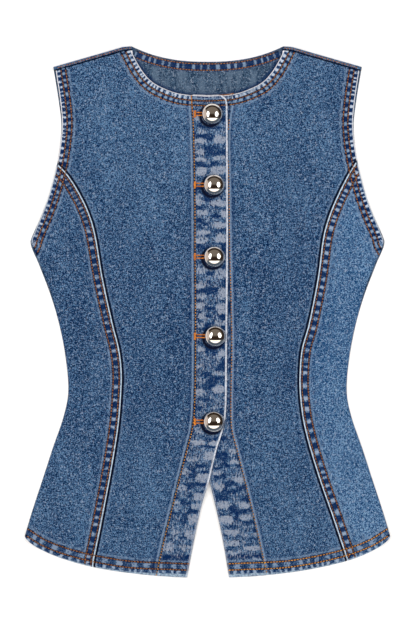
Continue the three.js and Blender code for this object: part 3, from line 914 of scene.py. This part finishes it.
def centre_denim():
    """A centre front: a pale ridge by the placket, worn and partly painted light, ink in the placket
    seam and a painted shadow along the princess seam.
    """
    cloth = Denim("denim_centre")
    cloth.hem_and_rim(cloth.rim_wave)
    # A worn pale ridge by the placket, widened as painted light over the shadow of the placket's step.
    ridge = cloth.seam.peak(2.3, 1.7) * (cloth.jitter * 2.2 + 0.9)
    cloth.halo = cloth.halo + ridge + cloth.fold.peak(3.5, 1.2) * 0.4
    cloth.dark = cloth.dark + cloth.seam.peak(5.0, 2.6) * 0.4
    cloth.lay_marks()
    # Painted shadow of the side panel's folded edge along the princess seam, and ink in the placket
    # seam.
    cloth.lay(cloth.fold.ease(2.7, 1.9) + cloth.seam.ease(0.5, 0.1) * 0.8, INK)
    return cloth.finished(WORN)


def side_denim(name, *tones):
    """A side front: squares and a bright folded edge along the princess seam."""
    cloth = Denim(name, tones or (DEEP, MID, PALE))
    cloth.hem_and_rim(cloth.rim_wave)
    cloth.squares(FOLD, cloth.fold, cloth.fold_wave - 0.1, 1.5, 0.95, srgb(144, 160, 184), LILAC)
    cloth.lay_marks()
    cloth.lay(cloth.fold.ease(1.5, 0.9) * (cloth.ragged * 2.0 + 0.88), srgb(206, 226, 242))
    return cloth.finished(srgb(188, 198, 212))


def placket_denim():
    """A placket: rubbed crests, dark hollows, a white free edge and shadow round the buttons."""
    cloth = Denim("denim_placket")
    cloth.hem_and_rim(cloth.rim_wave * 0.3)
    # The worn mask carries the worn free edge, the painted shadow round each button and how dark the
    # seam row is.
    free_worn, button_shadow, row_dark = cloth.attribute("worn")
    jitter, ragged, rim, hem = cloth.jitter, cloth.ragged, cloth.rim, cloth.hem
    stripes = rim.peak(3.3, 1.1) * (jitter * 2.0 + 0.8) + rim.peak(8.4, 1.3) * (jitter * 2.0 + 0.5)
    cloth.tints.append((stripes, HALO))
    streaks = cloth.speckle(1.3, 1.0, stretch=(1.0, 0.3, 1.0))
    patch = cloth.rub + streaks * 1.5 + jitter * 0.7
    body = cloth.free.ease(1.2, 2.8)
    above_hem = hem.ease(HEM.width, HEM.width + 1.5)
    cloth.tints.append((patch.ease(0.50, 0.86) * body * (ragged * 2.2 + 0.8) * above_hem, LILAC))
    cloth.dark = cloth.dark * rim.ease(ARM.width, ARM.width + 3).larger(0.4)
    cloth.dark = cloth.dark + patch.ease(0.46, 0.10) * body * (ragged * -2.0 + 0.9) * above_hem
    cloth.dark = cloth.dark + hem.peak(20.5, 3.6) * (jitter * 2.5 + 0.85) * body
    cloth.groove = cloth.groove + cloth.seam.peak(PLACKET_ROW["right"], 1.4) * row_dark
    cloth.lay_marks()
    edge = (cloth.free + ragged * 1.4).ease(2.3, 1.5)
    cloth.lay(edge * (ragged * 2.0 + 0.8) * free_worn, srgb(216, 221, 232))
    # Painted shadow round each button, near-black ink on the placket.
    cloth.lay(button_shadow * 0.95, INK)
    return cloth.finished(WORN)


def roll_denim():
    """The shoulder's roll: a pale fold along its top and ink in its seam."""
    finish = Finish("denim_roll")
    colour, relief = weave(finish)
    colour = finish.attribute("near")[1].ease(1.2, 0.4).blend(colour, HALO)
    colour = finish.attribute("trim")[0].ease(1.7, 0.9).blend(colour, INK)
    return finish.wear(colour, MATTE, relief, RELIEF, SHINE)


def plain_denim():
    """The outer face of the back, away from any seam."""
    finish = Finish("denim_outside")
    colour, relief = weave(finish)
    return finish.wear(colour, MATTE, relief, RELIEF, SHINE)


def inside_cloth():
    """The paler, greyer face inside the back, with soft upright streaks and a painted shadow along the
    fronts' neckline.
    """
    finish = Finish("denim_inside")
    colour, relief = weave(finish, srgb(12, 36, 62), srgb(34, 60, 88), srgb(74, 98, 122))
    streak = finish.noise(finish.place((1.0, 0.25, 1.0)), 9.0, 2.0).ease(0.42, 0.64)
    colour = (streak * 0.6).blend(colour, srgb(94, 114, 136))
    # Painted shadow: the inside of the back darkens where the fronts' neckline lies over it.
    front_neck_shadow = finish.attribute("near")[1].ease(6.0, 0.5)
    colour = (front_neck_shadow * 0.8).blend(colour, INDIGO)
    return finish.wear(colour, 0.92, relief, 0.3, 0.1)


def facing_denim():
    """Darker twill of the neck band, abraded in squares between its rows."""
    finish = Finish("denim_facing")
    away = finish.attribute("near")[2]
    colour, relief = weave(finish, srgb(12, 32, 66), srgb(36, 64, 100), srgb(92, 114, 142))
    wave = finish.attribute("wave")[2] + finish.speckle(JITTER, rough=0.6) * 0.6
    between = away.ease(2.4, 3.4) * away.ease(9.6, 8.6)
    colour = (between * wave.ease(0.4, 0.0) * 0.85).blend(colour, INDIGO)
    colour = (between * wave.ease(0.2, 0.6) * 0.75).blend(colour, srgb(126, 148, 176))
    rows = away.peak(FACING.rows[0], GROOVE) + away.peak(FACING.rows[1], GROOVE)
    colour = (rows * 0.95).blend(colour, INK)
    return finish.wear(colour, MATTE, relief, 0.3, 0.1)


def thread(name, dark, light):
    """Spun sewing thread of uneven tone, with painted shade in the grooves between its plies."""
    finish = Finish(name)
    share = finish.noise(finish.place(), 1.8, 1.0).ease(0.3, 0.7)
    ply = finish.waves(finish.place(turn=math.radians(35)), 0.4)
    # Painted shade: darker in the grooves between the plies.
    colour = (share * 0.75 + ply * 0.25).blend(dark, light)
    finish.shader.inputs["Sheen Weight"].default_value = 0.1
    return finish.wear(colour, 0.6, ply, 0.08)


def polished():
    """Polished metal with faint rubbing marks."""
    finish = Finish("button_metal")
    rub = finish.noise(finish.place((1.0, 6.0, 1.0)), 3.0, 3.0)
    finish.shader.inputs["Metallic"].default_value = 1.0
    colour = rub.blend(srgb(222, 218, 212), srgb(238, 235, 231))
    return finish.wear(colour, rub * 0.04 + 0.03)


CENTRE = centre_denim()
SIDE = side_denim("denim_side")
# Painted light: a paler copy of the side denim for the wearer's left side panel, which is lit more from
# that side.
SIDE_LIT = side_denim("denim_side_lit", srgb(8, 54, 98), srgb(48, 94, 139), srgb(118, 152, 186))
PLACKET = placket_denim()
ROLL = roll_denim()
INSIDE = inside_cloth()
OUTSIDE = plain_denim()
FACING_DENIM = facing_denim()
BROWN_THREAD = thread("thread_brown", srgb(94, 52, 12), srgb(178, 110, 42))
ORANGE_THREAD = thread("thread_orange", srgb(160, 92, 16), srgb(246, 172, 66))
HOLE_THREAD = thread("thread_buttonhole", srgb(156, 76, 6), srgb(230, 140, 30))
METAL = polished()


# Pieces of cloth


def shoulder_line(side, drop, inset=0.0):
    """The shoulder from neck to armhole, lowered, and short of its tip by an inset."""
    slant = np.subtract(SHOULDER_TIP, SHOULDER_BEND)
    slant = slant / np.linalg.norm(slant)
    down = np.array([slant[1], -slant[0]]) * drop
    points = [np.add(p, down) for p in (NECK_POINT, SHOULDER_BEND, SHOULDER_TIP)]
    points[2] = points[2] - slant * inset
    return Line([(side * p[0], p[1]) for p in points])


def front_shell(front, cloth, plan, material):
    """The centre or side cloth of a front over its plan."""
    form = front.form(cloth, *np.moveaxis(plan, -1, 0))
    solid = f"front_{cloth}_{front.name}"
    return shell(f"{cloth}_cloth_{front.name}", solid, plan, form, material)


def centre_panel(front):
    """A centre front, from its placket to the princess seam and the armhole."""
    def inner_at(y):
        return front.seam_at(y, GAP / 2)

    def outer_at(y):
        return front.ridge_at(y, -GAP / 2)

    first = front.side * inner_at(front.low_seam)[0]
    last = front.side * outer_at(front.low_ridge)[0]
    high = front.side * inner_at(front.high_seam)[0]
    top = shoulder_line(front.side, SHOULDER_ROLL + GAP, front_inset(SHOULDER_TIP[1]))
    neck_end, tip = top.share(0.0), top.share(1.0)
    neck = drawn(high, FRONT_NECK[-1][0], SHORT, front.neck_at)[1:]
    neck = [p for p in neck if p[1] < neck_end[1] - 1]
    inner = Line(drawn(front.low_seam, front.high_seam, LONG, inner_at) + neck + [neck_end])
    outer = Line(drawn(front.low_ridge, front.cross - CROSS_DROP, LONG, outer_at)
                 + drawn(front.cross, tip[1], SHORT, front.edge_at))
    bottom = Line(drawn(first, last, SHORT, front.hem_at))
    plan = coons(bottom, top, inner, outer, int(100 / CELL), int(560 / CELL))
    return front_shell(front, "centre", plan, CENTRE)


def side_panel(front, material):
    """A side front, folded under along the princess seam."""
    def inner_at(y):
        return front.ridge_at(y, GAP / 2)

    high = front.cross - CROSS_DROP
    first = front.side * inner_at(front.low_ridge)[0]
    inner = Line(drawn(front.low_ridge, high, LONG, inner_at))
    outer = Line(drawn(HEM_CORNER, UNDERARM_Y, LONG, front.edge_at))
    top = Line([inner.share(1.0)] + drawn(high - 2, UNDERARM_Y, SHORT, front.edge_at))
    bottom = Line(drawn(
        math.asin(first / HEM_HALF), math.asin(front_half(HEM_CORNER) / HEM_HALF), SHORT,
        lambda a: front.hem_at(HEM_HALF * math.sin(a))))
    plan = coons(bottom, top, inner, outer, int(82 / CELL), int(390 / CELL))
    return front_shell(front, "side", plan, material)


def keyhole_mask(x, y):
    """Distance outside the nearest buttonhole's cut, negative inside it."""
    best = np.full(np.shape(x), FAR)
    for bx, by in BUTTONS:
        past_end = np.clip(np.maximum(HOLE_START - x, x - bx), 0, None)
        best = np.minimum(best, np.hypot(past_end, y - by) - HOLE_HALF)
    return best


def button_shade(x, y):
    """The shadow on the placket round each button, a little low and to its left."""
    shade = np.zeros(x.shape)
    for bx, by in BUTTONS:
        away = np.hypot(x - bx + SHADE_SHIFT, y - by + SHADE_SHIFT)
        shade = np.maximum(shade, 1.5 * hill(away, *SHADE_RING))
    return shade


def placket(front):
    """A placket from hem to neck, the top one with a slot sunk at each button."""
    def edge_line(x_at):
        low, high = meeting(x_at, hem_y, HEM_LOW), meeting(x_at, front.placket_neck, 237)
        return Line(drawn(low, 218, LONG, lambda y: (x_at(y), y))
                    + drawn(219, high, SHORT, lambda y: (x_at(y), y)))

    def end_line(share, y_at):
        first, last = inner.share(share)[0], outer.share(share)[0]
        return Line(drawn(first, last, 12, lambda x: (x, y_at(x))))

    is_top = front.side < 0
    inner = edge_line(lambda y: front.seam_at(y, -GAP / 2)[0])
    outer = edge_line(front.free_x)
    ends = end_line(0.0, hem_y), end_line(1.0, front.placket_neck)
    plan = coons(*ends, inner, outer, int(50 / CELL), int(640 / CELL))
    x, y = np.moveaxis(plan, -1, 0)
    under, high, masks = front.form("placket", x, y)
    if is_top:
        sunk = high - HOLE_DEPTH * (1 - ease(0.0, 1.2, keyhole_mask(x, y)))
        high = np.maximum(sunk, under + 0.3)
    above_split = ease(SPLIT_Y - 14, SPLIT_Y + 4, y)
    free_worn = 0.42 + 0.58 * above_split if is_top else np.full(x.shape, 0.25)
    row_dark = np.full(x.shape, 1.0 if is_top else 0.3)
    # The second of these masks is the painted shadow round each button.
    masks["worn"] = (free_worn, button_shade(x, y), row_dark)
    solid = f"placket_{front.name}"
    form = (under, high, masks)
    return shell(f"placket_cloth_{front.name}", solid, plan, form, PLACKET)


def far_masks(shape, near, wave=None, to_seam=None):
    """Masks of a piece that has few of the fronts' edges: near names the ones it has."""
    far = np.full(shape, FAR)
    wave = np.zeros(shape) if wave is None else wave
    to_seam = far if to_seam is None else to_seam
    return {
        "near": [near.get(key, far) for key in ("hem", "rim", "fold")],
        "wave": (wave, wave, wave),
        "trim": (to_seam, far, np.full(shape, 0.5)),
    }


def back_cloth():
    """The back, flat under the fronts, as a grid from its hem to its neck and shoulders."""
    def edge(side):
        below = drawn(HEM_CORNER, UNDERARM_Y, LONG, lambda y: (side * half_width(y), y))
        above = drawn(UNDERARM_Y + 2, SHOULDER_TIP[1], SHORT, lambda y: (side * half_width(y), y))
        return Line(below + above)

    bottom = Line(drawn(-HEM_HALF, HEM_HALF, LONG, lambda x: (x, back_hem_y(x))))
    left, right = ([(side * p[0], p[1]) for p in (SHOULDER_TIP, SHOULDER_BEND)] for side in (-1, 1))
    top = Line([*left, *back_neck(NECK_POINT[0]).points, *right[::-1]])
    cell = 2.2 * CELL
    plan = coons(bottom, top, edge(-1), edge(1), int(380 / cell), int(520 / cell))
    x, y = np.moveaxis(plan, -1, 0)
    flat = np.zeros(x.shape)
    to_neck = np.minimum(*(front.lines["neck"].near(x, y)[0] for front in (RIGHT, LEFT)))
    form = (flat, flat + CLOTH, far_masks(x.shape, {"rim": to_neck}))
    return shell("back_cloth", "back", plan, form, INSIDE, OUTSIDE)


def shoulder_roll(front):
    """The strip of the back that rolls over the shoulder onto the front."""
    low, high = (shoulder_line(front.side, drop) for drop in (SHOULDER_ROLL, 0))
    plan = strip(low, high, 12, int(90 / CELL))
    x, y = np.moveaxis(plan, -1, 0)
    away, reach = high.near(x, y)
    wave = puckers(reach, 6.0, front.seed + 8)
    to_seam = low.near(x, y)[0]
    turn = np.clip(1 - away / 2.6, 0, 1)
    crown = np.sqrt(np.maximum(1 - turn ** 2, 0)) - 0.35 * (1 - ease(0, 1.2, to_seam))
    rise = (rest_height(x, y) + DOUBLE - CLOTH) * np.maximum(crown, 0)
    top = CLOTH + rise + 0.15 * wave * (away > 1)
    form = (np.full(x.shape, CLOTH / 2), top, far_masks(x.shape, {"rim": away}, wave, to_seam))
    return shell(f"shoulder_roll_{front.name}", "back", plan, form, ROLL)


def neck_facing():
    """The band inside the back neck, with puckers between its two rows."""
    edge = back_neck(NECK_POINT[0] - 6, GAP)
    plan = strip(edge, edge.beside(FACING.width, -1), 14, int(180 / CELL))
    x, y = np.moveaxis(plan, -1, 0)
    away, reach = edge.near(x, y)
    wave = puckers(reach, FACING.pitches[0], 71)
    round_off = 0.6 * (1 - ease(0, 1.0, np.minimum(away, FACING.width - away)))
    under = np.full(x.shape, CLOTH + GAP)
    top = under + FACING_CLOTH - round_off + FACING.height * wave * hill(away, *FACING.crest)
    form = (under, top, far_masks(x.shape, {"fold": away}, wave))
    return shell("back_neck_band", "back_neck_facing", plan, form, FACING_DENIM)


# Sewing


def strand(start, end, radius, sink=0.22):
    """A short length of thread from start to end, its ends sunk into the cloth."""
    start, end = np.asarray(start, float), np.asarray(end, float)
    run = end - start
    ahead = run / max(np.linalg.norm(run), 1e-9)
    sideways = np.cross(ahead, (0, 0, 1))
    sideways = sideways / max(np.linalg.norm(sideways), 1e-9)
    up = np.cross(sideways, ahead)
    angles = np.linspace(0, 2 * math.pi, THREAD_SIDES, endpoint=False)[:, None]
    around = np.cos(angles) * sideways + np.sin(angles) * up
    points = []
    for share, size, rise in STATIONS:
        height = rise - sink if share in (0.0, 1.0) else rise
        points.append(start + run * share + up * height + radius * size * around)
    return np.concatenate(points)


def strand_faces():
    """The faces of one strand: a cap, rings of four-sided faces and a cap."""
    last = len(STATIONS) - 1
    faces = [list(range(THREAD_SIDES))]
    for k in range(last):
        for i in range(THREAD_SIDES):
            a, b = k * THREAD_SIDES + i, k * THREAD_SIDES + (i + 1) % THREAD_SIDES
            faces.append([b, a, a + THREAD_SIDES, b + THREAD_SIDES])
    faces.append(list(reversed(range(last * THREAD_SIDES, (last + 1) * THREAD_SIDES))))
    return faces


def sewn(name, strands, material):
    """Many strands as one piece."""
    size = len(strands[0])
    one = strand_faces()
    faces = [[i + k * size for i in face] for k in range(len(strands)) for face in one]
    piece(name, np.concatenate(strands), faces, material)


def row(line, top, seed, margin=1.0, pitch=STITCH_PITCH, radius=THREAD_RADIUS, length=STITCH_LENGTH):
    """A row of stitches along a line, lying on the surface that top gives."""
    dice = np.random.default_rng(seed)
    count = max(int((line.length - 2 * margin) / pitch), 1)
    first = margin + np.arange(count) * pitch + dice.uniform(-STITCH_SLIP, STITCH_SLIP, count)
    last = first + length * pitch / STITCH_PITCH
    swing = dice.uniform(-STITCH_SWING, STITCH_SWING, (count, 2))
    starts, ends = line.at(first) + swing, line.at(last) - swing
    heights = [top(p[:, 0], p[:, 1]) for p in (starts, ends)]
    return [strand((*p, z), (*q, w), radius) for p, q, z, w in zip(starts, ends, *heights)]


def twin_rows(line, band, toward, top, seed, wider=None, **how):
    """Both rows of stitches of a band."""
    strands = []
    for k, away in enumerate(band.rows):
        strands += row(line.beside(away, toward, wider), top, seed + k, **how)
    return strands


def kept(strands, test):
    """The strands whose middle passes a test of its place."""
    return [s for s in strands if test(*s.mean(axis=0)[:2])]


def topstitching(front):
    """All the rows of a front, each cut off where another piece or an edge ends it."""
    side, lines, seed = front.side, front.lines, front.seed * 10
    is_top = side < 0
    neck_clear = 1.5 if is_top else 1.0
    neck_shoulder = shoulder_line(side, SHOULDER_ROLL + 1.2)
    arm_shoulder = shoulder_line(side, SHOULDER_ROLL + 1.0).points

    def on_hem(x, y):
        return side * x < front_half(y) - 1.2 and side * (x - front.free_x(y)) > 0.8

    def on_neck(x, y):
        past_placket = side * (x - top_edge(y)) > neck_clear
        below_seam = y < NECK_POINT[1] - SHOULDER_ROLL - 1.5
        return past_placket and below_seam and neck_shoulder.near(x, y)[0] > 0.6

    def on_arm(x, y):
        below_seam = y < np.interp(side * x, side * arm_shoulder[:, 0], arm_shoulder[:, 1])
        return below_seam and side * x < front_half(y) - 1.0

    def on_fold(x, y):
        return y > hem_y(x) + 1.2 and side * x < front_half(y) - 1.2

    def on_seam(x, y):
        shows = is_top or (x > top_edge(y) + 0.6 and y < 212)
        return shows and hem_y(x) + 1.2 < y < neck_y(x) - 1.0

    hem = twin_rows(lines["hem"], HEM, side, front.top, seed, hem_wider, margin=0.5)
    neck = twin_rows(lines["neck"], NECK, -side, front.top, seed + 10)
    arm = twin_rows(lines["arm"], ARM, side, front.top, seed + 20)
    fold = twin_rows(lines["fold"], FOLD, -side, front.top, seed + 30, radius=FINE_THREAD)
    seam = row(lines["seam"].beside(PLACKET_ROW[front.name], side), front.top, seed + 40,
               radius=FINE_THREAD, length=SHORT_STITCH)
    for name, strands, test, material in (
            ("hem", hem, on_hem, BROWN_THREAD if is_top else ORANGE_THREAD),
            ("neck", neck, on_neck, BROWN_THREAD),
            ("armhole", arm, on_arm, BROWN_THREAD),
            ("princess", fold, on_fold, BROWN_THREAD),
            ("placket", seam, on_seam, ORANGE_THREAD)):
        sewn(f"{name}_stitches_{front.name}", kept(strands, test), material)


def shoulder_stitches(front):
    """The row on the shoulder's roll."""
    line = shoulder_line(front.side, SHOULDER_ROW)
    strands = row(line, lambda x, y: rest_height(x, y) + DOUBLE - 0.05, front.seed + 300)
    sewn(f"shoulder_stitches_{front.name}", strands, BROWN_THREAD)


def facing_stitches():
    """Both rows of the band inside the back neck."""
    def top(x, y):
        return np.full(np.shape(x), CLOTH + GAP + FACING_CLOTH)

    rows = twin_rows(back_neck(NECK_POINT[0] - 8, GAP), FACING, -1, top, 500)
    sewn("facing_stitches", rows, BROWN_THREAD)


def bar(top, xs, ys, above, radius, level=True):
    """One stitch over the cloth, level, or falling from the higher of its ends."""
    z = top(np.asarray(xs, float), np.asarray(ys, float)) + above
    ends = (max(z), max(z) if level else z[1])
    return strand((xs[0], ys[0], ends[0]), (xs[1], ys[1], ends[1]), radius, 0.1)


def overlock():
    """The overcast neck edge of the under placket, which shows past the top one's corner."""
    def top(x, y):
        return LEFT.form("placket", x, y)[1]

    strands = []
    for x in np.arange(12.5, 28.5, CLOSE_PITCH):
        edge = LEFT.placket_neck(x)
        strands.append(bar(top, (x, x + 0.9), (edge - 1.3, edge - 0.1), 0.15, 0.3))
    sewn("overlock_stitches", strands, BROWN_THREAD)


def buttonholes():
    """Worked bars along each slot and a bar tack across its outer end."""
    strands = []
    dice = np.random.default_rng(900)
    for bx, by in BUTTONS:
        for lane in (-1, 1):
            for x in np.arange(HOLE_START + 0.5, bx - 6, CLOSE_PITCH):
                ys = (by + lane * 0.9, by + lane * (2.3 + dice.uniform(-0.2, 0.2)))
                strands.append(bar(RIGHT.top, (x, x + 0.25), ys, 0.12, 0.33, level=False))
        for y in by + np.arange(-3.8, 3.9, 0.55):
            xs = HOLE_START + np.array([-2.5, -0.1]) + dice.uniform(-0.25, 0.25, 2)
            strands.append(bar(RIGHT.top, xs, (y, y + 0.3), 0.2, 0.36))
    seam = RIGHT.lines["seam"].beside(PLACKET_ROW["right"] - 0.3, -1)
    close_row = row(seam, RIGHT.top, 950, pitch=1.9, radius=0.36)
    strands += kept(close_row, lambda x, y: 219 < y < neck_y(x) - 0.8)
    sewn("buttonhole_stitches", strands, HOLE_THREAD)


# Buttons


def turned(name, profile, around, material):
    """A closed piece turned about Z from a profile that starts and ends on the axis."""
    angles = np.linspace(0, 2 * math.pi, around, endpoint=False)
    points = [(0, 0, profile[0][1])]
    for radius, z in profile[1:-1]:
        points += [(radius * math.cos(angle), radius * math.sin(angle), z) for angle in angles]
    points.append((0, 0, profile[-1][1]))
    rings = len(profile) - 2
    last = 1 + (rings - 1) * around
    faces = []
    for i in range(around):
        j = (i + 1) % around
        faces.append((0, 1 + j, 1 + i))
        for k in range(rings - 1):
            a, b = 1 + k * around + i, 1 + k * around + j
            faces.append((a, b, b + around, a + around))
        faces.append((last + i, last + j, len(points) - 1))
    return piece(name, np.array(points), faces, material)


def button(number, x, y):
    """A tack button: shank, rolled rim and polished dome."""
    seat = float(rest_height(x, y)) + DOUBLE + GAP
    rim = float(right_height(x, y)) + DOUBLE + GAP + RIM_LIFT
    profile = [(0, seat), (SHANK_RADIUS, seat), (SHANK_RADIUS, rim + RIM_PROFILE[0][1])]
    profile += [(radius, rim + z) for radius, z in RIM_PROFILE]
    radii = np.linspace(DOME_SLOPES[-1][0], 0, DOME_RINGS)
    slopes = np.interp(radii, *zip(*DOME_SLOPES))
    steps = -np.diff(radii) * np.tan(np.radians((slopes[1:] + slopes[:-1]) / 2))
    heights = rim + DOME_SEAT + np.concatenate([[0], np.cumsum(steps)])
    profile += list(zip(radii, heights))
    made = turned(f"domed_button_{number}", profile, BUTTON_SIDES, METAL)
    made.data.transform(Matrix.Translation((x * MM, y * MM, 0)))
    stand_for(made, f"button_{number}")


# Studio


def area_light(name, place, size, power, mirrored):
    """A soft elliptical light at a place, turned to the vest."""
    data = bpy.data.lights.new(name, "AREA")
    data.shape = "ELLIPSE"
    data.size, data.size_y = size
    data.energy = power
    lamp = bpy.data.objects.new(name, data)
    lamp.location = place
    lamp.rotation_euler = (-Vector(place)).to_track_quat("-Z", "Y").to_euler()
    lamp.visible_glossy = mirrored
    bpy.context.scene.collection.objects.link(lamp)


def surroundings(world):
    """The room that the buttons mirror: dark overhead, pale walls to the left and in front."""
    tree = world.node_tree
    coordinates = tree.nodes.new("ShaderNodeTexCoord")
    split = tree.nodes.new("ShaderNodeSeparateXYZ")
    tree.links.new(coordinates.outputs["Generated"], split.inputs[0])
    east, north, up = (Wire(tree, split.outputs[i]) for i in range(3))
    south, west = north * -1, east * -1
    colour = north.ease(-0.12, 0.16).blend((0.035, 0.022, 0.015), (0.21, 0.175, 0.145))
    colour = (up.ease(0.50, 0.36) * north.ease(-0.3, 0.1)).blend(colour, (0.03, 0.018, 0.012))
    colour = west.ease(0.72, 0.84).blend(colour, (0.7, 0.58, 0.52))
    colour = south.ease(0.50, 0.58).blend(colour, (2.0, 1.85, 1.66))
    colour = (south.ease(0.30, 0.60) * up.ease(0.52, 0.40)).blend(colour, (0.10, 0.13, 0.17))
    lit = (north + west).ease(-0.1, 0.4)
    colour = up.ease(0.16, 0.06).blend(colour, lit.blend((0.14, 0.18, 0.25), (1.0, 0.95, 0.94)))
    background = tree.nodes["Background"]
    tree.links.new(colour.socket, background.inputs["Color"])
    background.inputs["Strength"].default_value = WORLD_LIGHT


def white_floor():
    """The plain white ground that the vest lies on."""
    reach = FLOOR_REACH
    mesh = bpy.data.meshes.new("floor")
    corners = [(-reach, -reach, 0), (reach, -reach, 0), (reach, reach, 0), (-reach, reach, 0)]
    mesh.from_pydata(corners, [], [(0, 1, 2, 3)])
    mesh.materials.append(Finish("floor").wear((0.97, 0.97, 0.97), 1.0, shine=0.0))
    floor = bpy.data.objects.new("floor", mesh)
    bpy.context.scene.collection.objects.link(floor)


def studio():
    """The world, the floor and the lights."""
    scene = bpy.context.scene
    scene.world = bpy.data.worlds.new("studio")
    scene.world.use_nodes = True
    scene.view_settings.view_transform = "Standard"
    surroundings(scene.world)
    white_floor()
    for light in LIGHTS:
        area_light(*light)


def camera():
    """Straight above, with the photo's field."""
    data = bpy.data.cameras.new("camera")
    data.lens = LENS
    data.sensor_width = SENSOR
    eye = bpy.data.objects.new("camera", data)
    eye.location = (*PHOTO_MIDDLE, PHOTO_HIGH * LENS / SENSOR)
    bpy.context.scene.collection.objects.link(eye)
    bpy.context.scene.camera = eye


camera()
studio()
centres = [centre_panel(RIGHT), centre_panel(LEFT)]
# The wearer's left side panel takes the paler copy, painted light.
sides = [side_panel(RIGHT, SIDE), side_panel(LEFT, SIDE_LIT)]
plackets = [placket(RIGHT), placket(LEFT)]
back = back_cloth()
rolls = [shoulder_roll(RIGHT), shoulder_roll(LEFT)]
facing = neck_facing()
for front in (RIGHT, LEFT):
    topstitching(front)
    shoulder_stitches(front)
facing_stitches()
overlock()
buttonholes()
for number, (x, y) in enumerate(BUTTONS, 1):
    button(number, x, y)
